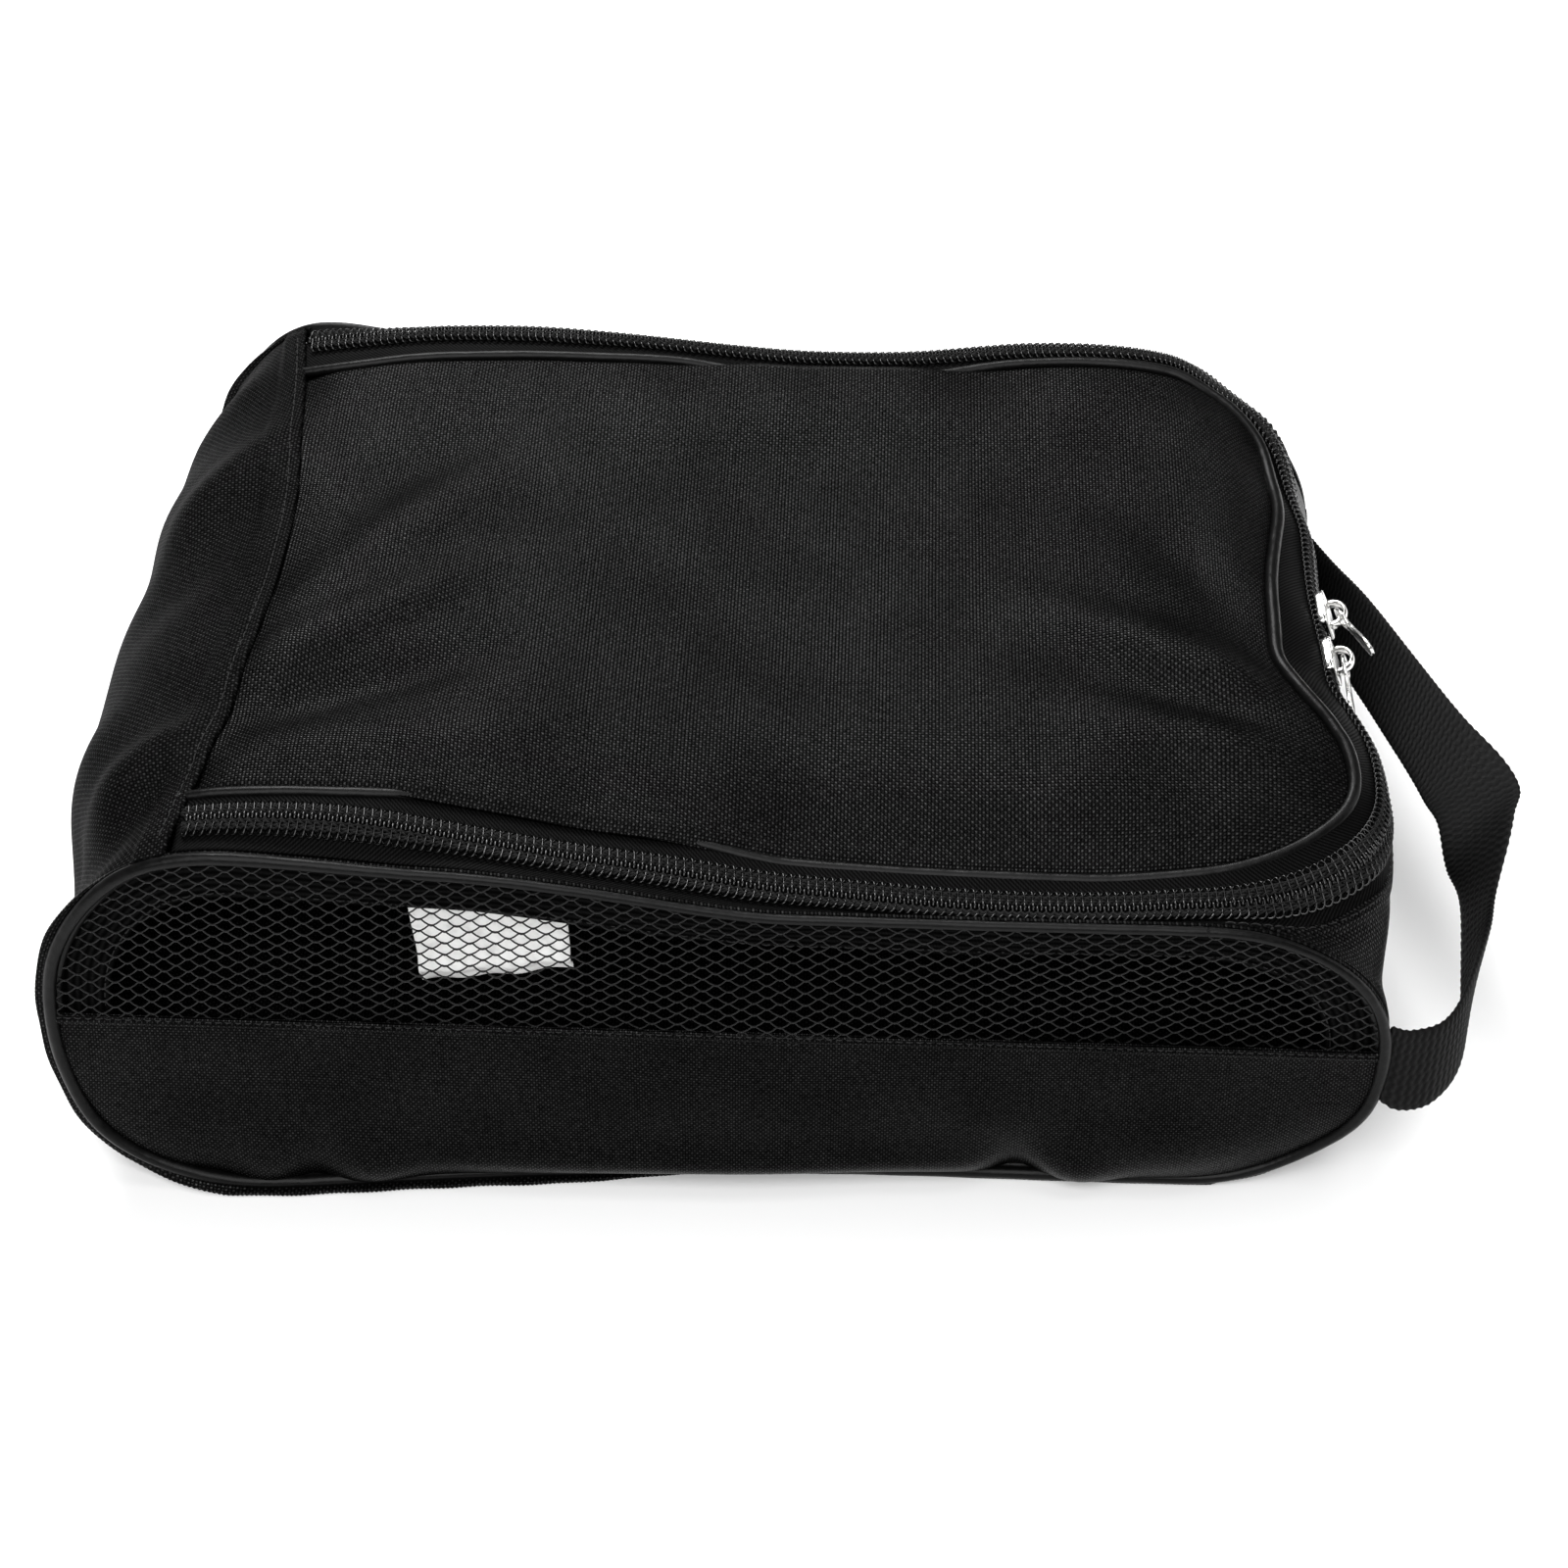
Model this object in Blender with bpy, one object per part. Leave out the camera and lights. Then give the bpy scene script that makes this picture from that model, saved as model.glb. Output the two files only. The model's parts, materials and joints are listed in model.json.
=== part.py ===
"""A zipped golf shoe bag lying on its back, with the lid up and the carrying handle at +X.

The bag is a fabric band, closed by two stadium-shaped side panels. The top of the band is a
lid: a zip runs round three of its edges, and a seam at the -X end is its hinge. All fabric
pieces are thin sheets on one common surface, band_point(), or on the two side planes,
side_point(). Units are metres; z = 0 is the face that the bag rests on.
"""

import math

import bmesh
import bpy
import numpy as np
from mathutils import Vector

# Driving dimensions of the bag
HEIGHT = 0.115  # rest face to the top of the lid at the hinge
LEFT_FLAT, RIGHT_FLAT = -0.118, 0.1235  # x where the flat top ends and the rounded ends begin
END_X = 0.175  # outer end of the side panels' piping
LEFT_BULGE, RIGHT_DENT = 0.001, 0.0025  # the end walls' middle, outside and inside END_X
WAIST = 0.0065  # how far the handle end is pressed in between its two corners
SIDE_Y = 0.112  # plane of a side panel at the lid
FLARE, FLARE_TAPER = 0.07, 0.045  # how much wider the bag is at its base, and less so at +X
EDGE_ROUNDING, LEFT_ROUNDING, RIGHT_ROUNDING = 2.3, 2.3, 4.0  # superellipse exponents of the ends
SAG = 0.005  # drop of the lid's free half
NEAR_SAG, FAR_SAG = 0.012, 0.0015  # extra drop of the lid's near and far edges
HEM_Z = 0.0548  # line where a side panel changes from mesh to plain cloth
BELLY = 0.006  # outward bulge of the plain cloth

# Cloth, trim and clearances
CLOTH, SIDE_CLOTH, TAPE = 0.0016, 0.0014, 0.0008
GAP = 0.0004
PIPING_R = 0.00175
HEM_HEIGHT = 0.0032
BINDING_WIDTH, BINDING_DEPTH = 0.012, 0.0024

# Zip: a U-shaped track, measured on the surface
HINGE_X = -0.130
TRACK_Y = 0.1015  # half the distance between the long runs
TRACK_END = RIGHT_FLAT + 0.0515  # the run round the handle end, along the surface
TRACK_CORNER = 0.052
ROW_SLOT, ROW_WIDTH, ROW_HEIGHT = 0.0006, 0.0034, 0.0021
BODY_TAPE, LID_TAPE = 0.0079, 0.0118
TAPE_DEPTH = 0.0006  # the tapes' outer face, below the surface

# Slider, in its own frame: along the track, across it, and out of the surface
SLIDER_LENGTH, SLIDER_HALF_WIDTH = 0.0125, 0.0056
SLIDER_PLATE, UNDER_HALF_WIDTH = 0.0011, 0.0034
SLIDER_Y = 0.0096
BAIL_WIDTH, BAIL_BAR = 0.0020, 0.0016
BAIL_INSIDE, BAIL_RISE = 0.0072, 0.0034
PULL_LENGTH, PULL_WIDTH, PULL_THICK = 0.0205, 0.0056, 0.0012
PULL_PIVOT = 0.0019  # above the slider's top face
FAR_PULL_TILT = math.radians(24)

# Carrying handle
STRAP_WIDTH, STRAP_THICK = 0.025, 0.0018
STRAP_AXIS = Vector((0.1772, 0.0, 0.049))
SWING_UP, SWING_DOWN = math.radians(46), math.radians(31)

# Care label
LABEL_X, LABEL_Z = (-0.081, -0.037), (0.0680, 0.0940)


def smoothstep(value, low, high):
    """0 at low and 1 at high, whichever of the two is larger."""
    t = min(max((value - low) / (high - low), 0.0), 1.0)
    return t * t * (3.0 - 2.0 * t)


class EndCurve:
    """Half a superellipse from the top of the band, round an end, to its base."""

    def __init__(self, reach, exponent, samples=241):
        angle = np.linspace(math.pi / 2, -math.pi / 2, samples)
        cosine, sine = np.abs(np.cos(angle)), np.sin(angle)
        radius = (cosine**exponent + np.abs(sine) ** exponent) ** (-1.0 / exponent)
        self.reach, self.exponent = reach, exponent
        self.out, self.rise = reach * radius * cosine, radius * sine
        steps = np.hypot(np.diff(self.out), np.diff(self.rise) * HEIGHT / 2)
        self.along = np.concatenate([[0.0], np.cumsum(steps)])
        self.length = self.along[-1]

    def at(self, fraction):
        """(distance out, rise from -1 to 1) at a fraction of the curve's length from the top."""
        length = fraction * self.length
        return np.interp(length, self.along, self.out), np.interp(length, self.along, self.rise)


LEFT_MIDDLE = EndCurve(END_X + LEFT_BULGE + LEFT_FLAT, LEFT_ROUNDING)
LEFT_EDGE = EndCurve(END_X + LEFT_FLAT, EDGE_ROUNDING)
RIGHT_MIDDLE = EndCurve(END_X - RIGHT_DENT - RIGHT_FLAT, RIGHT_ROUNDING)
RIGHT_EDGE = EndCurve(END_X - RIGHT_FLAT, EDGE_ROUNDING)
LEFT_BASE = LEFT_FLAT - LEFT_MIDDLE.length  # where the left end wall meets the base
RIGHT_BASE = RIGHT_FLAT + RIGHT_MIDDLE.length


def top_height(x, y):
    """Height of the bag at x, y: full at the hinge, sagging towards the handle's near edge."""
    slack = smoothstep(x, -0.070, 0.020)
    edge_sag = NEAR_SAG if y < 0 else FAR_SAG
    return HEIGHT - slack * (SAG + edge_sag * smoothstep(abs(y), 0.052, 0.108))


def placed(x, y, level):
    """The point at x, y and a level from 0, the rest face, to 1, the top."""
    flare = (FLARE - FLARE_TAPER * x / END_X) * (1 - level)
    return Vector((x, y * (1 + flare), level * top_height(x, y)))


def band_point(s, y):
    """A point of the band's outer surface: s runs along the top as x, and on down each end."""
    edge = smoothstep(abs(y), 0.084, 0.108)
    if s < LEFT_FLAT:
        flat, sign, middle, rim = LEFT_FLAT, -1, LEFT_MIDDLE, LEFT_EDGE
    elif s > RIGHT_FLAT:
        flat, sign, middle, rim = RIGHT_FLAT, 1, RIGHT_MIDDLE, RIGHT_EDGE
    else:
        return placed(s, y, 1.0)
    fraction = abs(s - flat) / middle.length
    out_middle, rise_middle = middle.at(fraction)
    out_rim, rise_rim = rim.at(fraction)
    out = out_middle + (out_rim - out_middle) * edge
    level = 0.5 + 0.5 * (rise_middle + (rise_rim - rise_middle) * edge)
    waist = WAIST * smoothstep(abs(y), 0.092, 0.046) * smoothstep(level, 0.0, 0.4)
    pressed_in = waist * smoothstep(out, 0.0, 0.040) if sign > 0 else 0.0
    return placed(flat + sign * out - pressed_in, y, level)


def band_normal(s, y):
    step = 0.0005
    along = band_point(s + step, y) - band_point(s - step, y)
    across = band_point(s, y + step) - band_point(s, y - step)
    return along.cross(across).normalized()


def track_point(length, lateral):
    """(s, y) beside the zip's track: length from the near hinge end, lateral outwards."""
    run = TRACK_END - TRACK_CORNER - HINGE_X
    quarter = TRACK_CORNER * math.pi / 2
    half_end = TRACK_Y - TRACK_CORNER
    half = run + quarter + half_end
    side = 1 if length > half else -1
    length = 2 * half - length if side > 0 else length
    if length <= run:
        return HINGE_X + length, side * (TRACK_Y + lateral)
    if length >= run + quarter:
        return TRACK_END + lateral, side * (half - length)
    angle = (length - run) / TRACK_CORNER
    radius = TRACK_CORNER + lateral
    s = TRACK_END - TRACK_CORNER + radius * math.sin(angle)
    return s, side * (half_end + radius * math.cos(angle))


TRACK_LENGTH = 2 * (TRACK_END - HINGE_X + TRACK_Y - 2 * TRACK_CORNER) + TRACK_CORNER * math.pi


def track_stations(start, end, straight=0.026, bend=0.0085):
    """Lengths along the track, closer together on its corners and on the curved end wall."""
    stations, length = [start], start
    while length < end:
        s, _ = track_point(length, 0)
        length = min(length + (bend if s > TRACK_END - TRACK_CORNER - 0.001 else straight), end)
        stations.append(length)
    return stations


def beside_track(lateral, height):
    """Points along the whole track at one distance beside it and one height off the surface."""
    lengths = track_stations(GAP * 2, TRACK_LENGTH - GAP * 2)
    places = [track_point(length, lateral) for length in lengths]
    return [band_point(*place) + band_normal(*place) * height for place in places]


def rim_loop(inset, segments=12):
    """(x, level) round a side panel's outline, inset from the band's outer surface."""
    squeeze = 1 - 2 * inset / HEIGHT
    angles = np.linspace(math.pi / 2, -math.pi / 2, segments + 1)
    loop = []
    for sign, flat, curve in ((1, RIGHT_FLAT, RIGHT_EDGE), (-1, LEFT_FLAT, LEFT_EDGE)):
        for angle in angles if sign > 0 else angles[::-1]:
            cosine, sine = abs(math.cos(angle)), math.sin(angle)
            radius = (cosine**curve.exponent + abs(sine) ** curve.exponent) ** (-1 / curve.exponent)
            reach = curve.reach - inset
            loop.append((flat + sign * reach * radius * cosine, 0.5 + 0.5 * radius * sine * squeeze))
        start, stop = (RIGHT_FLAT, LEFT_FLAT) if sign > 0 else (LEFT_FLAT, RIGHT_FLAT)
        level = 0.5 - 0.5 * squeeze if sign > 0 else 0.5 + 0.5 * squeeze
        loop += [(start + (stop - start) * step / 9, level) for step in range(1, 9)]
    return loop


def rim_half_height(x, inset):
    """Half the height, as a level, of a side panel's outline at x."""
    squeeze = 1 - 2 * inset / HEIGHT
    flat, curve = (LEFT_FLAT, LEFT_EDGE) if x < 0 else (RIGHT_FLAT, RIGHT_EDGE)
    past = max(abs(x) - abs(flat), 0.0) / (curve.reach - inset)
    return 0.5 * squeeze * max(1 - past**curve.exponent, 0.0) ** (1 / curve.exponent)


def side_point(side, x, level, out=0.0):
    """A point of a side panel's outer face; side is -1 for the near panel and 1 for the far."""
    point = placed(x, side * SIDE_Y, level)
    point.y += side * out
    return point


# Materials


def material(name, color, roughness, metallic=0.0):
    made = bpy.data.materials.new(name)
    made.use_nodes = True
    shader = made.node_tree.nodes["Principled BSDF"]
    shader.inputs["Base Color"].default_value = (*color, 1.0)
    shader.inputs["Roughness"].default_value = roughness
    shader.inputs["Metallic"].default_value = metallic
    return made


def finish(thing, look):
    color, roughness, metallic = look
    thing.data.materials.append(material(thing.name, color, roughness, metallic))
    return thing


WOVEN = ((0.020, 0.020, 0.021), 0.78, 0.0)
NYLON = ((0.016, 0.016, 0.018), 0.45, 0.0)
MESH_CLOTH = ((0.018, 0.018, 0.019), 0.70, 0.0)
TWILL = ((0.014, 0.014, 0.015), 0.70, 0.0)
GLOSS = ((0.010, 0.010, 0.010), 0.25, 0.0)
COIL = ((0.012, 0.012, 0.012), 0.35, 0.0)
WEBBING = ((0.018, 0.018, 0.018), 0.85, 0.0)
LABEL = ((0.85, 0.85, 0.84), 0.60, 0.0)
NICKEL = ((0.80, 0.80, 0.80), 0.22, 1.0)


# Shapes


def added(name, mesh, look):
    thing = bpy.data.objects.new(name, mesh)
    bpy.context.collection.objects.link(thing)
    return finish(thing, look)


def sheet(name, rows, thickness, look, cyclic=False, outward=False):
    """A cloth sheet: a grid of points, thickened by Solidify into or out of the surface."""
    width = len(rows[0])
    faces = []
    for i in range(len(rows) if cyclic else len(rows) - 1):
        this, following = i * width, (i + 1) % len(rows) * width
        for j in range(width - 1):
            faces.append((this + j, this + j + 1, following + j + 1, following + j))
    mesh = bpy.data.meshes.new(name)
    mesh.from_pydata([point for row in rows for point in row], [], faces)
    mesh.shade_smooth()
    thing = added(name, mesh, look)
    solid = thing.modifiers.new("thickness", "SOLIDIFY")
    solid.thickness = thickness
    solid.offset = 1.0 if outward else -1.0
    return thing


def tube(name, points, radius, look, cyclic=False):
    curve = bpy.data.curves.new(name, "CURVE")
    curve.dimensions = "3D"
    curve.bevel_depth = radius
    curve.bevel_resolution = 1
    curve.use_fill_caps = True
    spline = curve.splines.new("POLY")
    spline.points.add(len(points) - 1)
    for target, point in zip(spline.points, points):
        target.co = (*point, 1.0)
    spline.use_cyclic_u = cyclic
    thing = bpy.data.objects.new(name, curve)
    bpy.context.collection.objects.link(thing)
    return finish(thing, look)


def prism(name, outline, depth):
    """A mesh swept from a closed outline of points, centred on it along the vector depth."""
    mesh = bpy.data.meshes.new(name)
    bm = bmesh.new()
    base = bm.faces.new([bm.verts.new(point - depth / 2) for point in outline])
    swept = bmesh.ops.extrude_face_region(bm, geom=[base])["geom"]
    moved = [item for item in swept if isinstance(item, bmesh.types.BMVert)]
    bmesh.ops.translate(bm, vec=depth, verts=moved)
    bmesh.ops.recalc_face_normals(bm, faces=bm.faces)
    bm.to_mesh(mesh)
    bm.free()
    return mesh


def joined(thing, helper_name, mesh, operation):
    """Adds or cuts a helper mesh with a Boolean, and keeps the helper out of the model."""
    helper = bpy.data.objects.new(helper_name, mesh)
    bpy.context.collection.objects.link(helper)
    helper.parent = thing.parent
    helper.hide_render = True
    helper.display_type = "WIRE"
    boolean = thing.modifiers.new(helper_name, "BOOLEAN")
    boolean.operation = operation
    boolean.object = helper


def even(start, end, count):
    return [start + (end - start) * i / count for i in range(count + 1)]


# The band: base, two end walls and lid

BAND_EDGE = SIDE_Y - PIPING_R - GAP - 0.0003
BAND_Y = even(-BAND_EDGE, -0.084, 3)[:-1] + even(-0.084, 0.084, 4) + even(0.084, BAND_EDGE, 3)[1:]


def make_base_panel():
    """The flat base, which the bag rests on."""
    left, right = LEFT_FLAT + GAP, RIGHT_FLAT - GAP
    thick = Vector((0, 0, CLOTH))
    corners = [(left, -BAND_EDGE), (right, -BAND_EDGE), (right, BAND_EDGE), (left, BAND_EDGE)]
    outline = [placed(x, y, 0.0) + thick / 2 for x, y in corners]
    added("base_panel", prism("base_panel", outline, thick), WOVEN)


def make_hinge_end_panel():
    """The end wall at -X, from the base up to the seam that the lid hinges on."""
    along = even(HINGE_X - GAP, LEFT_BASE + GAP, 12)
    sheet("hinge_end_panel", [[band_point(s, y) for y in BAND_Y] for s in along], CLOTH, WOVEN)


def make_handle_end_panel():
    """The end wall at +X, cut out round the zip's tape and running up beside its corners."""
    reach = TRACK_CORNER + BODY_TAPE + GAP * 2
    centre_s, centre_y = TRACK_END - TRACK_CORNER, TRACK_Y - TRACK_CORNER
    last = math.acos((BAND_EDGE - centre_y) / reach)
    tops = []
    for angle in even(last, math.pi / 2, 8):
        tops.append((centre_y + reach * math.cos(angle), centre_s + reach * math.sin(angle)))
    tops += [(0.0, tops[-1][1])] + [(-y, top) for y, top in tops[::-1]]
    columns = [[band_point(s, y) for s in even(top, RIGHT_BASE - GAP, 10)] for y, top in tops]
    sheet("handle_end_panel", [list(row) for row in zip(*columns)], CLOTH, WOVEN)


def make_lid():
    """The lid's cloth and the piping sewn round its free edge."""
    piping = -(LID_TAPE + GAP + PIPING_R)
    lateral = piping - PIPING_R - GAP
    run = TRACK_END - TRACK_CORNER - HINGE_X
    stations = even(GAP * 2, run, 7) + even(run, run + TRACK_CORNER * math.pi / 2, 6)[1:]
    rows = []
    for length in stations:
        s, y = track_point(length, lateral)
        rows.append([band_point(s, y * share) for share in even(-1.0, 1.0, 10)])
    sheet("lid_panel", rows, CLOTH, WOVEN)
    tube("lid_piping", beside_track(piping, -0.0003), PIPING_R, GLOSS)


def make_zip():
    """Two tapes with a coil row each. The slot between the rows is where a slider's web runs."""
    for name, sign, width in (("body", 1, BODY_TAPE), ("lid", -1, LID_TAPE)):
        for kind, edge, height, thick, look in (
            ("tape", width, -TAPE_DEPTH, TAPE, TWILL),
            ("coil", ROW_SLOT + ROW_WIDTH, GAP - TAPE_DEPTH, ROW_HEIGHT, COIL),
        ):
            lines = [beside_track(sign * lateral, height) for lateral in (ROW_SLOT, edge)]
            rows = [list(pair) for pair in zip(*lines[::sign])]
            sheet(f"zip_{kind}_{name}", rows, thick, look, outward=kind == "coil")


# Side panels


def side_columns(inset, ends=0.0022):
    """x of a side panel's columns, closer together round its ends."""
    angles = [math.radians(a) for a in (14, 28, 43, 58, 74)]
    left = [LEFT_FLAT - (LEFT_EDGE.reach - inset - ends) * math.cos(a) for a in angles]
    right = [RIGHT_FLAT + (RIGHT_EDGE.reach - inset - ends) * math.cos(a) for a in angles]
    return left + even(LEFT_FLAT, RIGHT_FLAT, 9) + right[::-1]


def side_sheet(name, side, low, high, look, bulge=0.0, count=3):
    """A side panel between two height functions of x, given as levels."""
    rows = []
    for x in side_columns(PIPING_R * 2 + GAP):
        column = []
        for share in even(0.0, 1.0, count):
            level = low(x) + (high(x) - low(x)) * share
            fade = math.cos(math.pi / 2 * x / END_X) ** 0.5
            column.append(side_point(side, x, level, bulge * fade * math.sin(math.pi * share**0.7)))
        rows.append(column if side < 0 else column[::-1])
    sheet(name, rows[::-1], SIDE_CLOTH, look)


def make_side(name, side):
    """Mesh above, plain cloth below, a hem between them, piping round both, binding inside."""
    inset = PIPING_R * 2 + GAP

    def hem(x, offset):
        return (HEM_Z + offset) / top_height(x, side * SIDE_Y)

    def top(x):
        return 0.5 + rim_half_height(x, inset)

    def bottom(x):
        return 0.5 - rim_half_height(x, inset)

    half = HEM_HEIGHT / 2
    side_sheet(f"{name}_mesh_panel", side, lambda x: hem(x, half + GAP), top, MESH_CLOTH)
    side_sheet(f"{name}_lower_panel", side, bottom, lambda x: hem(x, -half - GAP), NYLON, BELLY, 5)
    side_sheet(f"{name}_hem_tape", side, lambda x: hem(x, -half), lambda x: hem(x, half), NYLON, count=1)
    piping = [side_point(side, x, level) for x, level in rim_loop(PIPING_R)]
    for point in piping:
        point.z = max(point.z, PIPING_R)
    tube(f"{name}_piping", piping, PIPING_R, GLOSS, cyclic=True)
    rows = []
    for rims in zip(rim_loop(inset + GAP), rim_loop(inset + GAP + BINDING_WIDTH)):
        pair = [side_point(side, x, level, -BINDING_DEPTH) for x, level in rims]
        rows.append(pair if side < 0 else pair[::-1])
    sheet(f"{name}_seam_binding", rows, TAPE, TWILL, cyclic=True)


def make_care_label():
    """A plain label that hangs inside the near mesh panel."""
    depth = SIDE_Y - BINDING_DEPTH - 0.0022
    corners = [(LABEL_X[i], LABEL_Z[j]) for i, j in ((0, 0), (1, 0), (1, 1), (0, 1))]
    outline = [Vector((x, -depth, z)) for x, z in corners]
    added("care_label", prism("care_label", outline, Vector((0, 0.0005, 0))), LABEL)


# Sliders and pulls


def slider_frame(y):
    """Origin on the track at y, and the unit vectors across it, down the wall, and out of it."""
    normal = band_normal(TRACK_END, y)
    return band_point(TRACK_END, y), Vector((0, 1, 0)).cross(normal), normal


def make_slider(name, y, tilt):
    """A slider on its empty, with a bail on top and a pull hung in the bail.

    Across the track, the body is a channel over both coil rows, a web in the slot between
    them and a plate under both tapes.
    """
    origin, across, normal = slider_frame(y)
    along = Vector((0, 1, 0))
    top = ROW_HEIGHT + GAP - TAPE_DEPTH + GAP + SLIDER_PLATE
    under = -TAPE_DEPTH - TAPE - GAP * 2 - SLIDER_PLATE
    web = ROW_SLOT - 0.0003
    half, wall, under_half = SLIDER_HALF_WIDTH, 0.0009, UNDER_HALF_WIDTH
    profile = [
        (half, top), (half, GAP), (half - wall, GAP), (half - wall, top - SLIDER_PLATE),
        (web, top - SLIDER_PLATE), (web, under + SLIDER_PLATE),
        (under_half, under + SLIDER_PLATE), (under_half, under),
    ]  # fmt: skip
    profile += [(-u, v) for u, v in reversed(profile)]
    outline = [across * u + normal * v for u, v in profile]
    carrier = bpy.data.objects.new(f"{name}_seat", None)
    bpy.context.collection.objects.link(carrier)
    carrier.location = origin
    body = added(name, prism(name, outline, along * SLIDER_LENGTH), NICKEL)
    body.parent = carrier

    outside, rise = BAIL_INSIDE / 2 + BAIL_BAR, BAIL_RISE + BAIL_BAR
    arch = arch_points(outside, rise) + arch_points(BAIL_INSIDE / 2, BAIL_RISE)[::-1]
    bail = [along * u + normal * (top + v) for u, v in arch]
    joined(body, f"{name}_bail", prism(f"{name}_bail", bail, across * BAIL_WIDTH), "UNION")
    make_pull(name.replace("slider", "pull"), origin + normal * (top + PULL_PIVOT), across, normal, tilt)


def arch_points(half, rise, foot=-0.0004):
    """An arch with rounded shoulders, from its +u foot over to its -u foot."""
    shoulder = min(half, rise) * 0.6
    points = [(half, foot)]
    for sign, angles in ((1, (0, 30, 60, 90)), (-1, (90, 60, 30, 0))):
        for angle in angles:
            u = half - shoulder + shoulder * math.cos(math.radians(angle))
            points.append((sign * u, rise - shoulder + shoulder * math.sin(math.radians(angle))))
    return points + [(-half, foot)]


def make_pull(name, pivot, across, normal, tilt):
    """A pull tab that points to -Y; its end bar lies in the bail, on the hinge axis."""
    along = Vector((0, -math.cos(tilt), 0)) + normal * math.sin(tilt)
    thick = across.cross(along).normalized() * PULL_THICK
    half, bar = PULL_WIDTH / 2, 0.0008
    tip = half * 0.8
    outline = [(-bar, -half), (PULL_LENGTH - tip, -half)]
    for angle in (-60, -30, 0, 30, 60):
        turn = math.radians(angle)
        outline.append((PULL_LENGTH - tip + tip * math.cos(turn), half * math.sin(turn)))
    outline += [(PULL_LENGTH - tip, half), (-bar, half)]
    plate = [along * u + across * v for u, v in outline]
    hinge = bpy.data.objects.new(f"{name}_hinge", None)
    bpy.context.collection.objects.link(hinge)
    hinge.location = pivot
    pull = added(name, prism(name, plate, thick), NICKEL)
    pull.parent = hinge
    eye_half, eye_end = BAIL_WIDTH / 2 + GAP, BAIL_INSIDE / 2 + BAIL_BAR + 0.0012
    corners = [(bar, -eye_half), (eye_end, -eye_half), (eye_end, eye_half), (bar, eye_half)]
    eye = [along * u + across * v for u, v in corners]
    joined(pull, f"{name}_eye", prism(f"{name}_eye", eye, thick * 3), "DIFFERENCE")


# Handle

# Centre of the webbing and the direction of its width, from the near seam round to the far one
STRAP_ROUTE = [
    ((0.1772, -0.1090, 0.0490), (0.00, 0.00, 1.00)),
    ((0.1880, -0.1075, 0.0485), (0.00, 0.05, 1.00)),
    ((0.1955, -0.0975, 0.0480), (0.00, 0.10, 1.00)),
    ((0.1995, -0.0780, 0.0490), (0.10, 0.00, 1.00)),
    ((0.2045, -0.0530, 0.0515), (0.30, -0.05, 0.90)),
    ((0.2080, -0.0330, 0.0545), (0.62, -0.05, 0.60)),
    ((0.2080, -0.0180, 0.0555), (0.80, 0.05, 0.50)),
    ((0.2030, -0.0020, 0.0555), (0.80, 0.30, 0.50)),
    ((0.1930, 0.0230, 0.0545), (0.72, 0.35, 0.55)),
    ((0.1855, 0.0480, 0.0530), (0.55, 0.25, 0.75)),
    ((0.1810, 0.0760, 0.0505), (0.20, 0.08, 1.00)),
    ((0.1772, 0.1090, 0.0490), (0.00, 0.00, 1.00)),
]


def catmull(values, t):
    """A smooth curve through the values; t counts them."""
    i = min(int(t), len(values) - 2)
    a, b = values[i], values[i + 1]
    before = values[i - 1] if i else a * 2 - b
    after = values[i + 2] if i + 2 < len(values) else b * 2 - a
    f = t - i
    slope = (b - before) * (f / 2)
    curve = (before * 2 - a * 5 + b * 4 - after) * (f * f / 2)
    return a + slope + curve + (a * 3 - before - b * 3 + after) * (f**3 / 2)


def clear_half_width(centre, swing):
    """How wide the webbing can be on one side of its centre and still swing clear of the bag."""
    if abs(centre.y) > SIDE_Y - 0.006:
        wall = END_X
    else:
        wall = band_point(RIGHT_FLAT + RIGHT_MIDDLE.length / 2, centre.y).x
    room = STRAP_AXIS.x - wall - STRAP_THICK / 2 - GAP
    reach = (centre.x - STRAP_AXIS.x) * math.cos(swing)
    return min(STRAP_WIDTH / 2, (reach + room) / math.sin(swing))


def make_handle():
    """The webbing loop. Its sewn ends are trimmed to a wedge, so that it can swing."""
    centres = [Vector(centre) for centre, _ in STRAP_ROUTE]
    widths = [Vector(width) for _, width in STRAP_ROUTE]
    rows = []
    for t in even(0.05, len(centres) - 1.05, 32):
        centre, width = catmull(centres, t), catmull(widths, t).normalized()
        upper, lower = clear_half_width(centre, SWING_UP), clear_half_width(centre, SWING_DOWN)
        rows.append([centre - width * lower, centre, centre + width * upper])
    sheet("handle_strap", rows, STRAP_THICK, WEBBING)


def main():
    for thing in list(bpy.data.objects):
        bpy.data.objects.remove(thing, do_unlink=True)
    make_base_panel()
    make_hinge_end_panel()
    make_handle_end_panel()
    make_lid()
    make_zip()
    make_side("near", -1)
    make_side("far", 1)
    make_care_label()
    make_slider("slider_near", -SLIDER_Y, 0.0)
    make_slider("slider_far", SLIDER_Y, FAR_PULL_TILT)
    make_handle()


main()
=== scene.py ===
"""Looks of the zipped golf shoe bag: cloth, mesh, zip, piping, webbing and nickel.

Every cloth piece is a fine sheet on the same surfaces as its CAD panel: band() for the strip
that runs over the top and down both ends, and side() for the two side panels. s runs along the
top as x and on down each end; y is across; lift is the distance off the surface. Metres.
"""

import json
import math

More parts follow.
